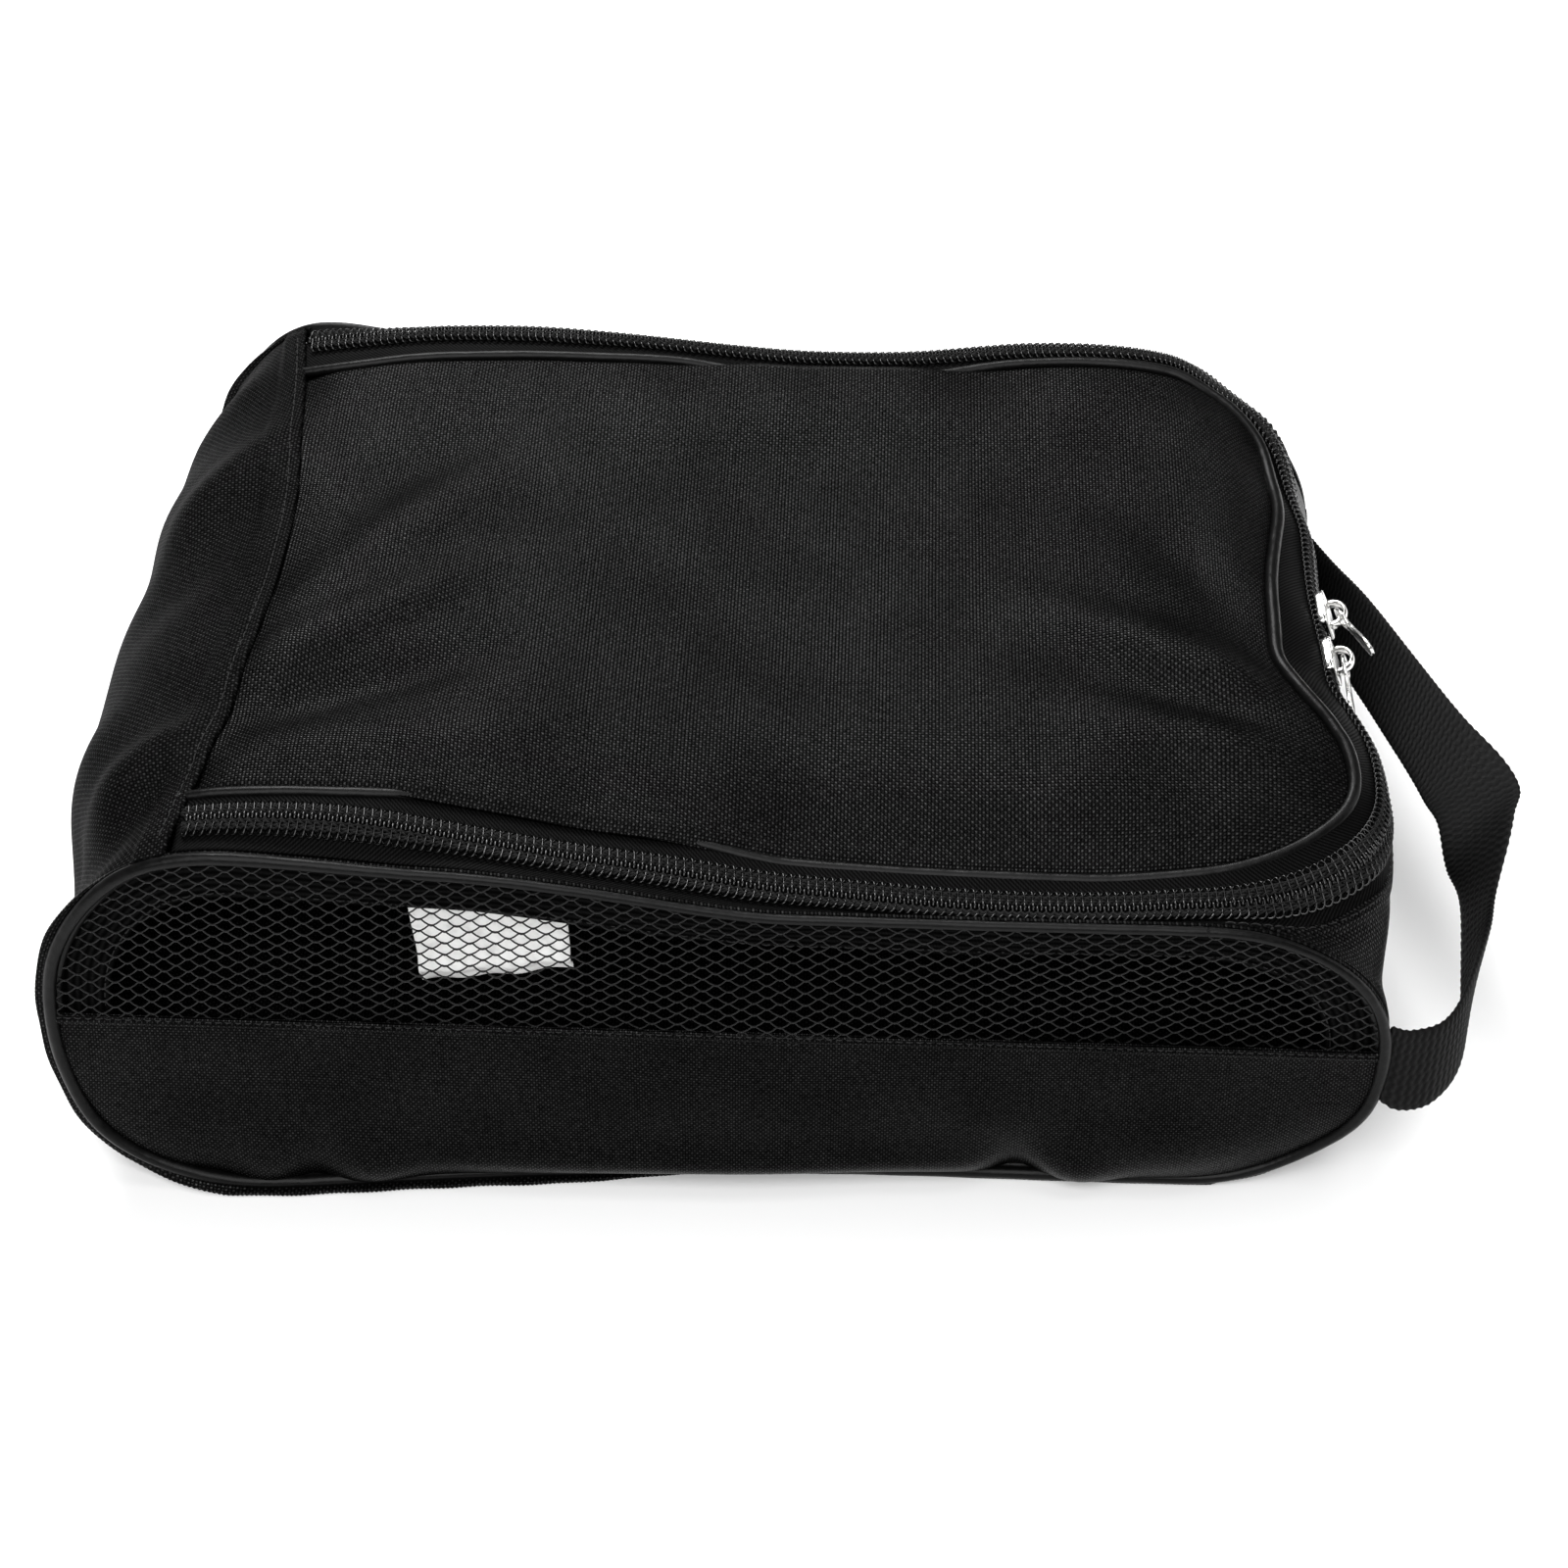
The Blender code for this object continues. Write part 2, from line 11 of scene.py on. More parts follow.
import bmesh
import bpy
import numpy as np
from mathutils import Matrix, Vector


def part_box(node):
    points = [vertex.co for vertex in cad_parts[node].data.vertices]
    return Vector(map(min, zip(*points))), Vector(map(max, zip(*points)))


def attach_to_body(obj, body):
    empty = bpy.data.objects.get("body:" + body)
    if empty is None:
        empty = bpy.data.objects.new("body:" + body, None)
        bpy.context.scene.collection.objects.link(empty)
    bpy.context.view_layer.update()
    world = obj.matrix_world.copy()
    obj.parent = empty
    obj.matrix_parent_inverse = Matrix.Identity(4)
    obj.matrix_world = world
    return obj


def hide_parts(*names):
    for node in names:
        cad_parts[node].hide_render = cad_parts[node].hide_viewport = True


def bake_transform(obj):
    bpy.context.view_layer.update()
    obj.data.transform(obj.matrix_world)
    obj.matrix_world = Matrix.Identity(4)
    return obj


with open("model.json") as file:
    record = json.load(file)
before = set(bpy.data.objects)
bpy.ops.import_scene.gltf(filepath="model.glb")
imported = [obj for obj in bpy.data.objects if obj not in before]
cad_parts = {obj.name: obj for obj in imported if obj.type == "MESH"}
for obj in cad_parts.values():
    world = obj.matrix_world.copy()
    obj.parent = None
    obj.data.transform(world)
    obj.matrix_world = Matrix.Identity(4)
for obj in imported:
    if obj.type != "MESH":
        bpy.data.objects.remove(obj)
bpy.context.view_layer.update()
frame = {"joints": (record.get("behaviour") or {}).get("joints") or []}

# The bag's driving dimensions, as in the CAD model
HEIGHT = 0.115
LEFT_FLAT, RIGHT_FLAT = -0.118, 0.1235
END_X = 0.175
LEFT_BULGE, RIGHT_DENT = 0.001, 0.0025
WAIST = 0.0065
SIDE_Y = 0.112
FLARE, FLARE_TAPER = 0.07, 0.045
EDGE_ROUNDING, LEFT_ROUNDING, RIGHT_ROUNDING = 2.3, 2.3, 4.0
SAG, NEAR_SAG, FAR_SAG = 0.005, 0.012, 0.0015
HEM_Z = 0.0548
PIPING_R = 0.00175
HEM_HEIGHT = 0.0032
HINGE_X = -0.130
TRACK_Y = 0.1015
TRACK_END = RIGHT_FLAT + 0.0515
TRACK_CORNER = 0.052
BODY_TAPE = 0.0079
STRAP_WIDTH = 0.025

# Details that only show here
SEAM_BOW = 0.0105  # how far the hinge seam curves, between its middle and its ends
SEAM_MIDDLE = -0.1245
CREASE_GAIN = 1.35
TOOTH_PITCH = 0.0021
MESH_SIDE, MESH_RISE, MESH_KNOT = 0.0033, 0.0038, 0.0010  # a hole's width and height, and its knots' length
FOLD_WIDTH, FOLD_RISE = 0.0085, 0.0011  # the hinge-end wall's folded edge
WALL_THICK, LID_THICK, THIN_CLOTH = 0.0014, 0.0012, 0.0007
TURNED_IN = 0.0008  # how far the walls' sides dip where the side seams take them
RIM_COUNT = 420  # points round the strips inside a side panel's rim
NEAR, FAR = -1, 1
MM = 1000


def floats(*values):
    """The values as arrays of one shape."""
    return np.broadcast_arrays(*(np.asarray(value, float) for value in values))


def smooth(value, low, high):
    """0 up to low, 1 from high, and a smooth step between; high may be the lesser."""
    t = np.clip((np.asarray(value, float) - low) / (high - low), 0.0, 1.0)
    return t * t * (3.0 - 2.0 * t)


def bell(value, centre, width):
    """A bump of height 1 at centre."""
    return np.exp(-(((np.asarray(value, float) - centre) / width) ** 2))


def profile(value, *knots):
    """A smooth curve through (at, height) knots, level before the first and after the last."""
    at, height = np.array(knots, float).T
    value = np.clip(np.asarray(value, float), at[0], at[-1])
    i = np.clip(np.searchsorted(at, value) - 1, 0, len(at) - 2)
    slope = np.gradient(height, at)
    slope[0] = slope[-1] = 0.0
    width = at[i + 1] - at[i]
    t = (value - at[i]) / width
    rise = height[i + 1] - height[i]
    start, end = slope[i] * width, slope[i + 1] * width
    return height[i] + t * start + t**2 * (3 * rise - 2 * start - end) + t**3 * (start + end - 2 * rise)


def unit(vectors):
    return vectors / np.maximum(np.linalg.norm(vectors, axis=-1, keepdims=True), 1e-12)


def superellipse(exponent, samples):
    """(radius, cosine, sine) at angles from the top, round one end, to the base."""
    angle = np.linspace(math.pi / 2, -math.pi / 2, samples)
    cosine, sine = np.abs(np.cos(angle)), np.sin(angle)
    return (cosine**exponent + np.abs(sine) ** exponent) ** (-1.0 / exponent), cosine, sine


def running(steps):
    """The length so far at each point, from the steps between points."""
    return np.concatenate([[0.0], np.cumsum(steps)])


def lengths_along(points):
    return running(np.linalg.norm(np.diff(points, axis=0), axis=1))


def resampled(at, along, values):
    """3-D values, known at lengths along, looked up at other lengths."""
    return np.stack([np.interp(at, along, values[:, k]) for k in range(3)], -1)


# Surfaces


class EndCurve:
    """Half a superellipse from the top of the band, round an end, to its base."""

    def __init__(self, reach, exponent, samples=241):
        radius, cosine, sine = superellipse(exponent, samples)
        self.reach, self.out, self.rise = reach, reach * radius * cosine, radius * sine
        self.along = running(np.hypot(np.diff(self.out), np.diff(self.rise) * HEIGHT / 2))
        self.length = self.along[-1]

    def at(self, fraction):
        length = fraction * self.length
        return np.interp(length, self.along, self.out), np.interp(length, self.along, self.rise)


LEFT_MIDDLE = EndCurve(END_X + LEFT_BULGE + LEFT_FLAT, LEFT_ROUNDING)
LEFT_EDGE = EndCurve(END_X + LEFT_FLAT, EDGE_ROUNDING)
RIGHT_MIDDLE = EndCurve(END_X - RIGHT_DENT - RIGHT_FLAT, RIGHT_ROUNDING)
RIGHT_EDGE = EndCurve(END_X - RIGHT_FLAT, EDGE_ROUNDING)
LEFT_BASE = LEFT_FLAT - LEFT_MIDDLE.length
RIGHT_BASE = RIGHT_FLAT + RIGHT_MIDDLE.length


# Dips along the top's edges: depth, x of the middle, half width, which side, y where each starts and is full
EDGE_DIPS = (
    (0.0050, -0.062, 0.042, NEAR, 0.045, 0.100),
    (0.0034, 0.165, 0.026, NEAR, 0.080, 0.110),
    (0.0006, 0.075, 0.060, NEAR, 0.1035, 0.1110),
    (0.0036, 0.138, 0.032, FAR, 0.092, 0.110),
)


def top_height(x, y):
    """How high the top is at x, y: it sags towards the handle end and along its edges."""
    slack = smooth(x, -0.070, 0.020)
    edge_sag = np.where(y < 0, NEAR_SAG, FAR_SAG)
    height = HEIGHT - slack * (SAG + edge_sag * smooth(np.abs(y), 0.052, 0.108))
    for depth, middle, width, which, start, full in EDGE_DIPS:
        height = height - depth * bell(x, middle, width) * smooth(which * y, start, full)
    return height - 0.0045 * smooth(x, -0.135, -0.095) * smooth(y, 0.100, 0.111)


def placed(x, y, level):
    """The point at x, y and a level from 0, the rest face, to 1, the top.

    The base flares out, and the cloth is drawn in, pinched, puffed or splayed near the corners.
    """
    flare = (FLARE - FLARE_TAPER * x / END_X) * (1 - level)
    by_handle = bell(x, 0.168, 0.022)
    spread = 0.0034 * bell(x, -0.128, 0.045) - 0.0034 * bell(x, 0.022, 0.080) - 0.0020 * by_handle
    spread = spread * smooth(level, 0.35, 0.0) * smooth(-y, 0.050, 0.112)
    raised = 0.0024 * by_handle * smooth(level, 0.40, 0.05) * smooth(-y, 0.060, 0.112)
    drawn_in = 0.0085 * smooth(y, 0.070, 0.102) * smooth(x, 0.112, 0.160) * smooth(level, 0.35, 0.85)
    hunched = 0.0085 * smooth(y, 0.045, 0.095) * smooth(-x, 0.128, 0.165) * smooth(level, 0.25, 0.75)
    pinched = 0.0060 * bell(y, -0.099, 0.013) * bell(level, 0.84, 0.16)
    pinched = (pinched + 0.0088 * bell(y, -0.080, 0.020) * bell(level, 0.62, 0.17)) * smooth(-x, 0.128, 0.160)
    puffed = 0.0030 * smooth(-x, 0.135, 0.170) * smooth(y, 0.070, 0.020) * smooth(-y, 0.105, 0.080)
    puffed = puffed * np.sin(math.pi * level)
    splayed = 0.0036 * bell(level, 0.10, 0.17) * smooth(-x, 0.125, 0.168) * smooth(-y, 0.050, 0.105)
    out_x = x - drawn_in + hunched + pinched - puffed - splayed
    return np.stack([out_x, y * (1 + flare) - spread, level * top_height(x, y) + raised], axis=-1)


def band_base(s, y):
    """The band's smooth outer surface, as in the CAD model."""
    s, y = floats(s, y)
    x, level = s.copy(), np.ones_like(s)
    edge = smooth(np.abs(y), 0.084, 0.108)
    ends = ((-1, LEFT_FLAT, LEFT_MIDDLE, LEFT_EDGE), (1, RIGHT_FLAT, RIGHT_MIDDLE, RIGHT_EDGE))
    for sign, flat, middle, rim in ends:
        past = sign * (s - flat)
        fraction = np.clip(past / middle.length, 0.0, 1.0)
        out_middle, rise_middle = middle.at(fraction)
        out_rim, rise_rim = rim.at(fraction)
        out = out_middle + (out_rim - out_middle) * edge
        end_level = 0.5 + 0.5 * (rise_middle + (rise_rim - rise_middle) * edge)
        if sign > 0:
            waist = WAIST * smooth(np.abs(y), 0.092, 0.046) * smooth(end_level, 0.0, 0.4)
            out_x = out - waist * smooth(out, 0.0, 0.040)
        else:
            out_x = out
        x = np.where(past > 0, flat + sign * out_x, x)
        level = np.where(past > 0, end_level, level)
    return placed(x, y, level)


def crease(s, y, start, end, width, height):
    """A long soft fold from start to end, each (s, y), fading out at both."""
    ds, dy = end[0] - start[0], end[1] - start[1]
    length = math.hypot(ds, dy)
    along = ((s - start[0]) * ds + (y - start[1]) * dy) / length**2
    off = ((s - start[0]) * dy - (y - start[1]) * ds) / length
    fade = smooth(along, -0.20, 0.25) * (1 - smooth(along, 0.55, 1.15))
    return CREASE_GAIN * height * fade * np.exp(-((off / width) ** 2))


CREASES = (
    # start and end as (s, y), half width, height
    # from the near end of the hinge seam, fanning out over the lid
    ((-0.130, -0.050), (-0.062, 0.006), 0.0085, 0.0030),
    ((-0.126, -0.034), (-0.060, 0.060), 0.012, 0.0026),
    ((-0.124, -0.066), (-0.056, -0.030), 0.0085, -0.0030),
    ((-0.122, -0.082), (-0.030, -0.056), 0.010, 0.0018),
    ((-0.118, 0.020), (-0.040, 0.085), 0.014, -0.0020),
    # from the waist at the handle end
    ((0.156, -0.046), (0.074, 0.000), 0.0100, 0.0032),
    ((0.164, -0.066), (0.092, -0.048), 0.0085, 0.0024),
    ((0.160, -0.055), (0.088, -0.028), 0.0085, -0.0022),
    ((0.150, -0.014), (0.104, 0.040), 0.012, -0.0022),
    ((0.150, -0.084), (0.066, -0.066), 0.010, 0.0016),
    # across the hinge end
    ((-0.128, 0.058), (-0.172, 0.020), 0.010, 0.0026),
    ((-0.132, 0.030), (-0.176, -0.020), 0.012, -0.0018),
    ((-0.134, -0.066), (-0.172, -0.084), 0.008, 0.0028),
    ((-0.134, -0.082), (-0.168, -0.100), 0.006, -0.0018),
    ((-0.150, 0.090), (-0.200, 0.070), 0.012, 0.0022),
    ((-0.160, -0.050), (-0.215, -0.072), 0.014, 0.0020),
    ((-0.165, 0.020), (-0.225, 0.040), 0.014, -0.0016),
    # on the handle end wall
    ((0.205, -0.092), (0.235, -0.040), 0.010, 0.0014),
    ((0.205, 0.092), (0.240, 0.050), 0.010, 0.0016),
    ((0.196, -0.104), (0.214, -0.078), 0.006, -0.0012),
)


def folds(s, y):
    """Height of the cloth's folds and slack over the smooth surface."""
    by_zip = smooth(s, 0.126, 0.150) * (1 - smooth(s, 0.178, 0.195))
    height = sum(crease(s, y, *line) for line in CREASES) * (1 - by_zip)
    height = height - 0.0030 * bell(s, 0.004, 0.050) * smooth(y, 0.060, 0.098)
    height = height - 0.0030 * bell(s, 0.020, 0.070) * bell(y, -0.012, 0.055)
    height = height + 0.0022 * bell(s, -0.020, 0.060) * bell(y, 0.072, 0.024)
    ripple = np.sin(s * 61 + 2.0 * np.sin(y * 37)) * np.sin(y * 53 + 1.3 + 2.0 * np.sin(s * 29))
    return height + 0.00060 * ripple * (1 - smooth(np.abs(y), 0.085, 0.105))


def raw_normals(points_of, s, y):
    """Outward directions of the surface that points_of gives."""
    step = 0.0004
    along = points_of(s + step, y) - points_of(s - step, y)
    across = points_of(s, y + step) - points_of(s, y - step)
    return unit(np.cross(along, across))


def slump(s, y):
    """How far the filled bag's top has settled from the smooth surface: (x, y, z) offsets."""
    near = smooth(-y, 0.035, 0.098) * (1 - smooth(-y, 0.103, 0.112))
    far = smooth(y, 0.040, 0.098) * (1 - smooth(y, 0.103, 0.112))
    end = smooth(s, 0.118, 0.160) * (1 - smooth(s, 0.182, 0.222))
    under = bell(s, 0.206, 0.015) * smooth(-y, 0.040, 0.085) * (1 - smooth(-y, 0.100, 0.110))
    across = near * profile(s, (-0.02, 0), (0.01, -0.001), (0.06, -0.0033), (0.095, -0.0035), (0.14, -0.001))
    across = across + far * profile(
        s, (-0.135, 0.0003), (-0.09, 0.0032), (-0.05, 0.0040), (0.05, 0.0046), (0.09, 0.0056),
        (0.125, 0.0050), (0.16, 0.001)
    )  # fmt: skip
    rise = near * profile(
        s, (-0.135, 0.0012), (-0.10, 0.0038), (-0.085, 0.0038), (-0.062, 0.0008), (-0.045, -0.0009),
        (0.0, -0.0010), (0.03, -0.0022), (0.07, -0.0038), (0.10, -0.0034), (0.13, -0.0024), (0.17, -0.0010)
    )  # fmt: skip
    rise = rise + far * profile(
        s, (-0.135, 0.0003), (-0.10, 0.0024), (-0.05, 0.0034), (0.0, 0.0056), (0.05, 0.0042), (0.085, 0.0064),
        (0.11, 0.0066), (0.145, 0.0030), (0.17, 0)
    )  # fmt: skip
    out = end * profile(
        y, (-0.108, 0.0015), (-0.085, 0.0045), (-0.062, 0.0088), (-0.045, 0.0092), (-0.034, 0.0062),
        (-0.022, 0.0017), (-0.010, 0.0006), (0.012, -0.0008), (0.030, -0.0006), (0.047, -0.0008),
        (0.062, -0.0046), (0.076, -0.0066), (0.090, -0.0044), (0.106, -0.0010)
    )  # fmt: skip
    return np.stack(np.broadcast_arrays(out - 0.0055 * under, across, rise), axis=-1)


def band_surface(s, y):
    """The band as the filled bag holds it, with its folds."""
    s, y = floats(s, y)
    return band_base(s, y) + raw_normals(band_base, s, y) * folds(s, y)[..., None] + slump(s, y)


def lifted(s, y, lift):
    """Points at a lift off the band's surface, and its normals there."""
    s, y, lift = floats(s, y, lift)
    normals = raw_normals(band_surface, s, y)
    return band_surface(s, y) + normals * lift[..., None], normals


def band(s, y, lift):
    return lifted(s, y, lift)[0]


def seam_s(y):
    """Where the hinge seam lies, at y."""
    return SEAM_MIDDLE - SEAM_BOW * np.minimum(np.abs(y) / 0.1, 1.1) ** 2


def track(length, lateral):
    """(s, y) beside the zip's track: length from the near hinge end, lateral outwards."""
    length = np.asarray(length, float)
    run = TRACK_END - TRACK_CORNER - HINGE_X
    quarter = TRACK_CORNER * math.pi / 2
    half_end = TRACK_Y - TRACK_CORNER
    half = run + quarter + half_end
    side = np.where(length > half, 1.0, -1.0)
    folded = np.where(length > half, 2 * half - length, length)
    angle = np.clip((folded - run) / TRACK_CORNER, 0.0, math.pi / 2)
    radius = TRACK_CORNER + lateral
    on_run, on_end = folded <= run, folded >= run + quarter
    s = TRACK_END - TRACK_CORNER + radius * np.sin(angle)
    y = side * (half_end + radius * np.cos(angle))
    s = np.where(on_run, HINGE_X + folded, np.where(on_end, TRACK_END + lateral, s))
    y = np.where(on_run, side * (TRACK_Y + lateral), np.where(on_end, side * (half - folded), y))
    return s, y


TRACK_LENGTH = 2 * (TRACK_END - HINGE_X + TRACK_Y - 2 * TRACK_CORNER) + TRACK_CORNER * math.pi
TRACK_START = float(seam_s(TRACK_Y)) - HINGE_X  # the zip starts under the seam


def lid_edge(length):
    """How far inside the zip's centre line the lid's edge runs, along the track."""
    return profile(
        length, (0.0, 0.0092), (0.08, 0.0106), (0.13, 0.0092), (0.20, 0.0098), (0.245, 0.0096),
        (0.285, 0.0110), (0.308, 0.0116), (0.330, 0.0162), (0.352, 0.0236), (0.384, 0.0222), (0.425, 0.0150),
        (0.47, 0.0084), (0.52, 0.0080), (0.548, 0.0068), (0.575, 0.0080), (0.65, 0.0098), (0.72, 0.0116),
        (0.765, 0.0136)
    )  # fmt: skip


def lid_overhang(length):
    """How far the slack lid cloth hangs out over its piping, along the track."""
    near = smooth(length, 0.030, 0.065) * (1 - smooth(length, 0.112, 0.150))
    back = TRACK_LENGTH - length
    far = smooth(back, 0.105, 0.135) * (1 - smooth(back, 0.172, 0.205))
    return 0.0021 * near + 0.0028 * far


def beside_track(length, lateral, lift):
    """Points beside the zip's track, and the surface's normals there."""
    return lifted(*track(length, lateral), lift)


def side(which, x, level, out=0.0):
    """A point of a side panel's outer face; which is -1 for the near panel and 1 for the far."""
    x, level, out = floats(x, level, out)
    points = placed(x, np.full_like(x, which * SIDE_Y), level)
    points[..., 1] += which * out
    return points


def rim_half_height(x, inset):
    """Half the height, as a level, of a side panel's outline at x."""
    squeeze = 1 - 2 * inset / HEIGHT
    flat = np.where(x < 0, -LEFT_FLAT, RIGHT_FLAT)
    reach = np.where(x < 0, LEFT_EDGE.reach, RIGHT_EDGE.reach) - inset
    past = np.clip((np.abs(x) - flat) / reach, 0.0, 1.0)
    return 0.5 * squeeze * (1 - past**EDGE_ROUNDING) ** (1 / EDGE_ROUNDING)


def rim(inset, count):
    """(x, level) round a side panel's outline, evenly spaced."""
    squeeze = 1 - 2 * inset / HEIGHT
    radius, cosine, sine = superellipse(EDGE_ROUNDING, 200)
    reach = RIGHT_EDGE.reach - inset
    right = np.stack([RIGHT_FLAT + reach * radius * cosine, radius * sine], -1)
    reach = LEFT_EDGE.reach - inset
    left = np.stack([LEFT_FLAT - reach * radius * cosine, radius * sine], -1)[::-1]
    loop = np.concatenate([right, left, right[:1]])
    along = running(np.hypot(np.diff(loop[:, 0]), np.diff(loop[:, 1]) * HEIGHT / 2))
    at = np.linspace(0, along[-1], count, endpoint=False)
    x = np.interp(at, along, loop[:, 0])
    return x, 0.5 + 0.5 * squeeze * np.interp(at, along, loop[:, 1]), at


# Meshes


def add_mesh(name, verts, faces, look, weave):
    """A smooth-shaded object. weave holds each vertex's place in the cloth, in millimetres; the webbing's
    third value is its painted rib light.
    """
    mesh = bpy.data.meshes.new(name)
    mesh.from_pydata(np.asarray(verts, float), [], faces if isinstance(faces, list) else faces.tolist())
    mesh.shade_smooth()
    full = np.zeros((len(verts), 3), np.float32)
    full[:, : weave.shape[1]] = weave
    mesh.attributes.new("weave", "FLOAT_VECTOR", "POINT").data.foreach_set("vector", full.ravel())
    mesh.materials.append(look)
    thing = bpy.data.objects.new(name, mesh)
    bpy.context.scene.collection.objects.link(thing)
    return thing


def cloth_place(u, v):
    return np.stack(np.broadcast_arrays(u, v), -1) * MM


def grid_faces(rows, columns, first, cyclic):
    i = np.arange(rows if cyclic else rows - 1)[:, None]
    j = np.arange(columns - 1)[None, :]
    a, b = i * columns + j, (i + 1) % rows * columns + j
    return np.stack([a, b, b + 1, a + 1], -1).reshape(-1, 4) + first


def grid_normals(points, cyclic=False):
    if cyclic:
        along = np.roll(points, -1, 0) - np.roll(points, 1, 0)
    else:
        along = np.gradient(points, axis=0)
    return unit(np.cross(along, np.gradient(points, axis=1)))


def sheet_faces(rows, columns, cyclic=False):
    """The faces of a closed sheet: an outer grid, an inner grid and the walls between their edges."""
    count = rows * columns
    row = np.arange(rows)
    edges = [row * columns, (row * columns + columns - 1)[::-1]]
    if cyclic:
        rims = [np.append(edge, edge[0]) for edge in edges]
    else:
        column = np.arange(columns)
        bottom = (rows - 1) * columns + column
        rims = [np.concatenate([column[::-1], edges[0][1:], bottom[1:], edges[1][1:]])]
    walls = [np.stack([rim[:-1], rim[:-1] + count, rim[1:] + count, rim[1:]], -1) for rim in rims]
    outer, inner = grid_faces(rows, columns, 0, cyclic), grid_faces(rows, columns, count, cyclic)
    return np.concatenate([outer, inner[:, ::-1], *walls])


def two_layers(outer, inner):
    return np.concatenate([outer.reshape(-1, outer.shape[-1]), inner.reshape(-1, inner.shape[-1])])


def cloth(name, points, weave, thickness, look, outward=1, cyclic=False):
    """A closed sheet whose outer face is a grid of points, with a rounded edge all round."""
    normals = grid_normals(points, cyclic) * outward
    faces = sheet_faces(*points.shape[:2], cyclic)
    if outward < 0:
        faces = faces[:, ::-1]
    verts = two_layers(points, points - normals * thickness)
    return add_mesh(name, verts, faces, look, two_layers(weave, weave))


def ring_tube(centres, sideways, upwards, width, height, sides, closed=False):
    """Vertices and faces of a tube with elliptical sections; width and height are radii."""
    count = len(centres)
    width, height, _ = floats(width, height, np.zeros(count))
    angle = np.arange(sides) * 2 * math.pi / sides
    rings = (
        centres[:, None, :]
        + sideways[:, None, :] * (np.cos(angle)[None, :] * width[:, None])[..., None]
        + upwards[:, None, :] * (np.sin(angle)[None, :] * height[:, None])[..., None]
    )
    i = np.arange(count if closed else count - 1)[:, None]
    j, next_j = np.arange(sides)[None, :], (np.arange(sides)[None, :] + 1) % sides
    here, ahead = i * sides, (i + 1) % count * sides
    faces = np.stack([here + j, ahead + j, ahead + next_j, here + next_j], -1).reshape(-1, 4).tolist()
    if not closed:
        last = (count - 1) * sides
        faces += [list(range(sides))[::-1], [last + k for k in range(sides)]]
    return rings.reshape(-1, 3), faces


def frames(points, normals, closed=False):
    """Sideways and upward directions of a tube along points, kept square to it."""
    if closed:
        along = unit(np.roll(points, -1, 0) - np.roll(points, 1, 0))
    else:
        along = unit(np.gradient(points, axis=0))
    sideways = unit(np.cross(normals, along))
    return sideways, np.cross(along, sideways)


def carried_frames(points):
    """Two directions square to a winding line, carried along it without twisting."""
    along = unit(np.gradient(points, axis=0))
    carried = np.empty_like(points)
    carried[0] = unit(np.cross(along[0], np.array([0.0, 0.6, 0.8])))
    for i in range(1, len(points)):
        kept = carried[i - 1] - along[i] * np.dot(carried[i - 1], along[i])
        carried[i] = kept / max(np.linalg.norm(kept), 1e-9)
    return carried, np.cross(along, carried)


def tube(name, points, normals, width, height, look, sides, closed=False, lengths=None):
    """A cord or thread along points; width and height are its section's radii."""
    sideways, upwards = frames(points, normals, closed)
    verts, faces = ring_tube(points, sideways, upwards, width, height, sides, closed)
    if lengths is None:
        lengths = lengths_along(points)
    around = np.arange(sides) / sides * 2 * math.pi * np.mean(width)
    weave = cloth_place(lengths[:, None], around[None, :]).reshape(-1, 2)
    return add_mesh(name, verts, faces, look, weave)


def many_tubes(name, starts, ends, normals, radius, look, bow, rings=3):
    """Many short four-sided threads in one mesh; bow lifts each middle along its normal."""
    count, sides = len(starts), 4
    t = np.linspace(0, 1, rings)
    centres = starts[:, None, :] + (ends - starts)[:, None, :] * t[None, :, None]
    centres = centres + normals[:, None, :] * (bow * np.sin(math.pi * t))[None, :, None]
    along = unit(ends - starts)
    sideways = unit(np.cross(normals, along))
    upwards = np.cross(along, sideways)
    angle = np.arange(sides) * 2 * math.pi / sides + math.pi / sides
    offset = sideways[:, None, :] * np.cos(angle)[None, :, None]
    offset = (offset + upwards[:, None, :] * np.sin(angle)[None, :, None]) * radius
    verts = (centres[:, :, None, :] + offset[:, None, :, :]).reshape(-1, 3)
    first = (np.arange(count) * rings * sides)[:, None, None]
    i, j = np.arange(rings - 1)[None, :, None], np.arange(sides)[None, None, :]
    here, ahead = first + i * sides, first + (i + 1) * sides
    after = (j + 1) % sides
    walls = np.stack(np.broadcast_arrays(here + j, ahead + j, ahead + after, here + after), -1)
    start_cap = first[:, 0, :] + np.arange(4)[None, ::-1]
    end_cap = first[:, 0, :] + (rings - 1) * sides + np.arange(4)[None, :]
    faces = np.concatenate([walls.reshape(-1, 4), start_cap, end_cap])
    return add_mesh(name, verts, faces, look, np.zeros((len(verts), 2)))


def stitches(name, points, normals, length=0.0026, gap=0.0007):
    """A row of top stitches along points: each dips into the cloth at its ends."""
    radius = 0.00021
    along = lengths_along(points)
    count = int(along[-1] / (length + gap))
    begin = (np.arange(count) + 0.1) * (length + gap)
    middle = unit(resampled(begin + length / 2, along, normals))
    sunk = middle * radius * 0.8
    starts, ends = resampled(begin, along, points) - sunk, resampled(begin + length, along, points) - sunk
    return many_tubes(name, starts, ends, middle, radius, THREAD, bow=radius * 1.7, rings=5)


# Materials


def grey(value):
    return (value, value, value)


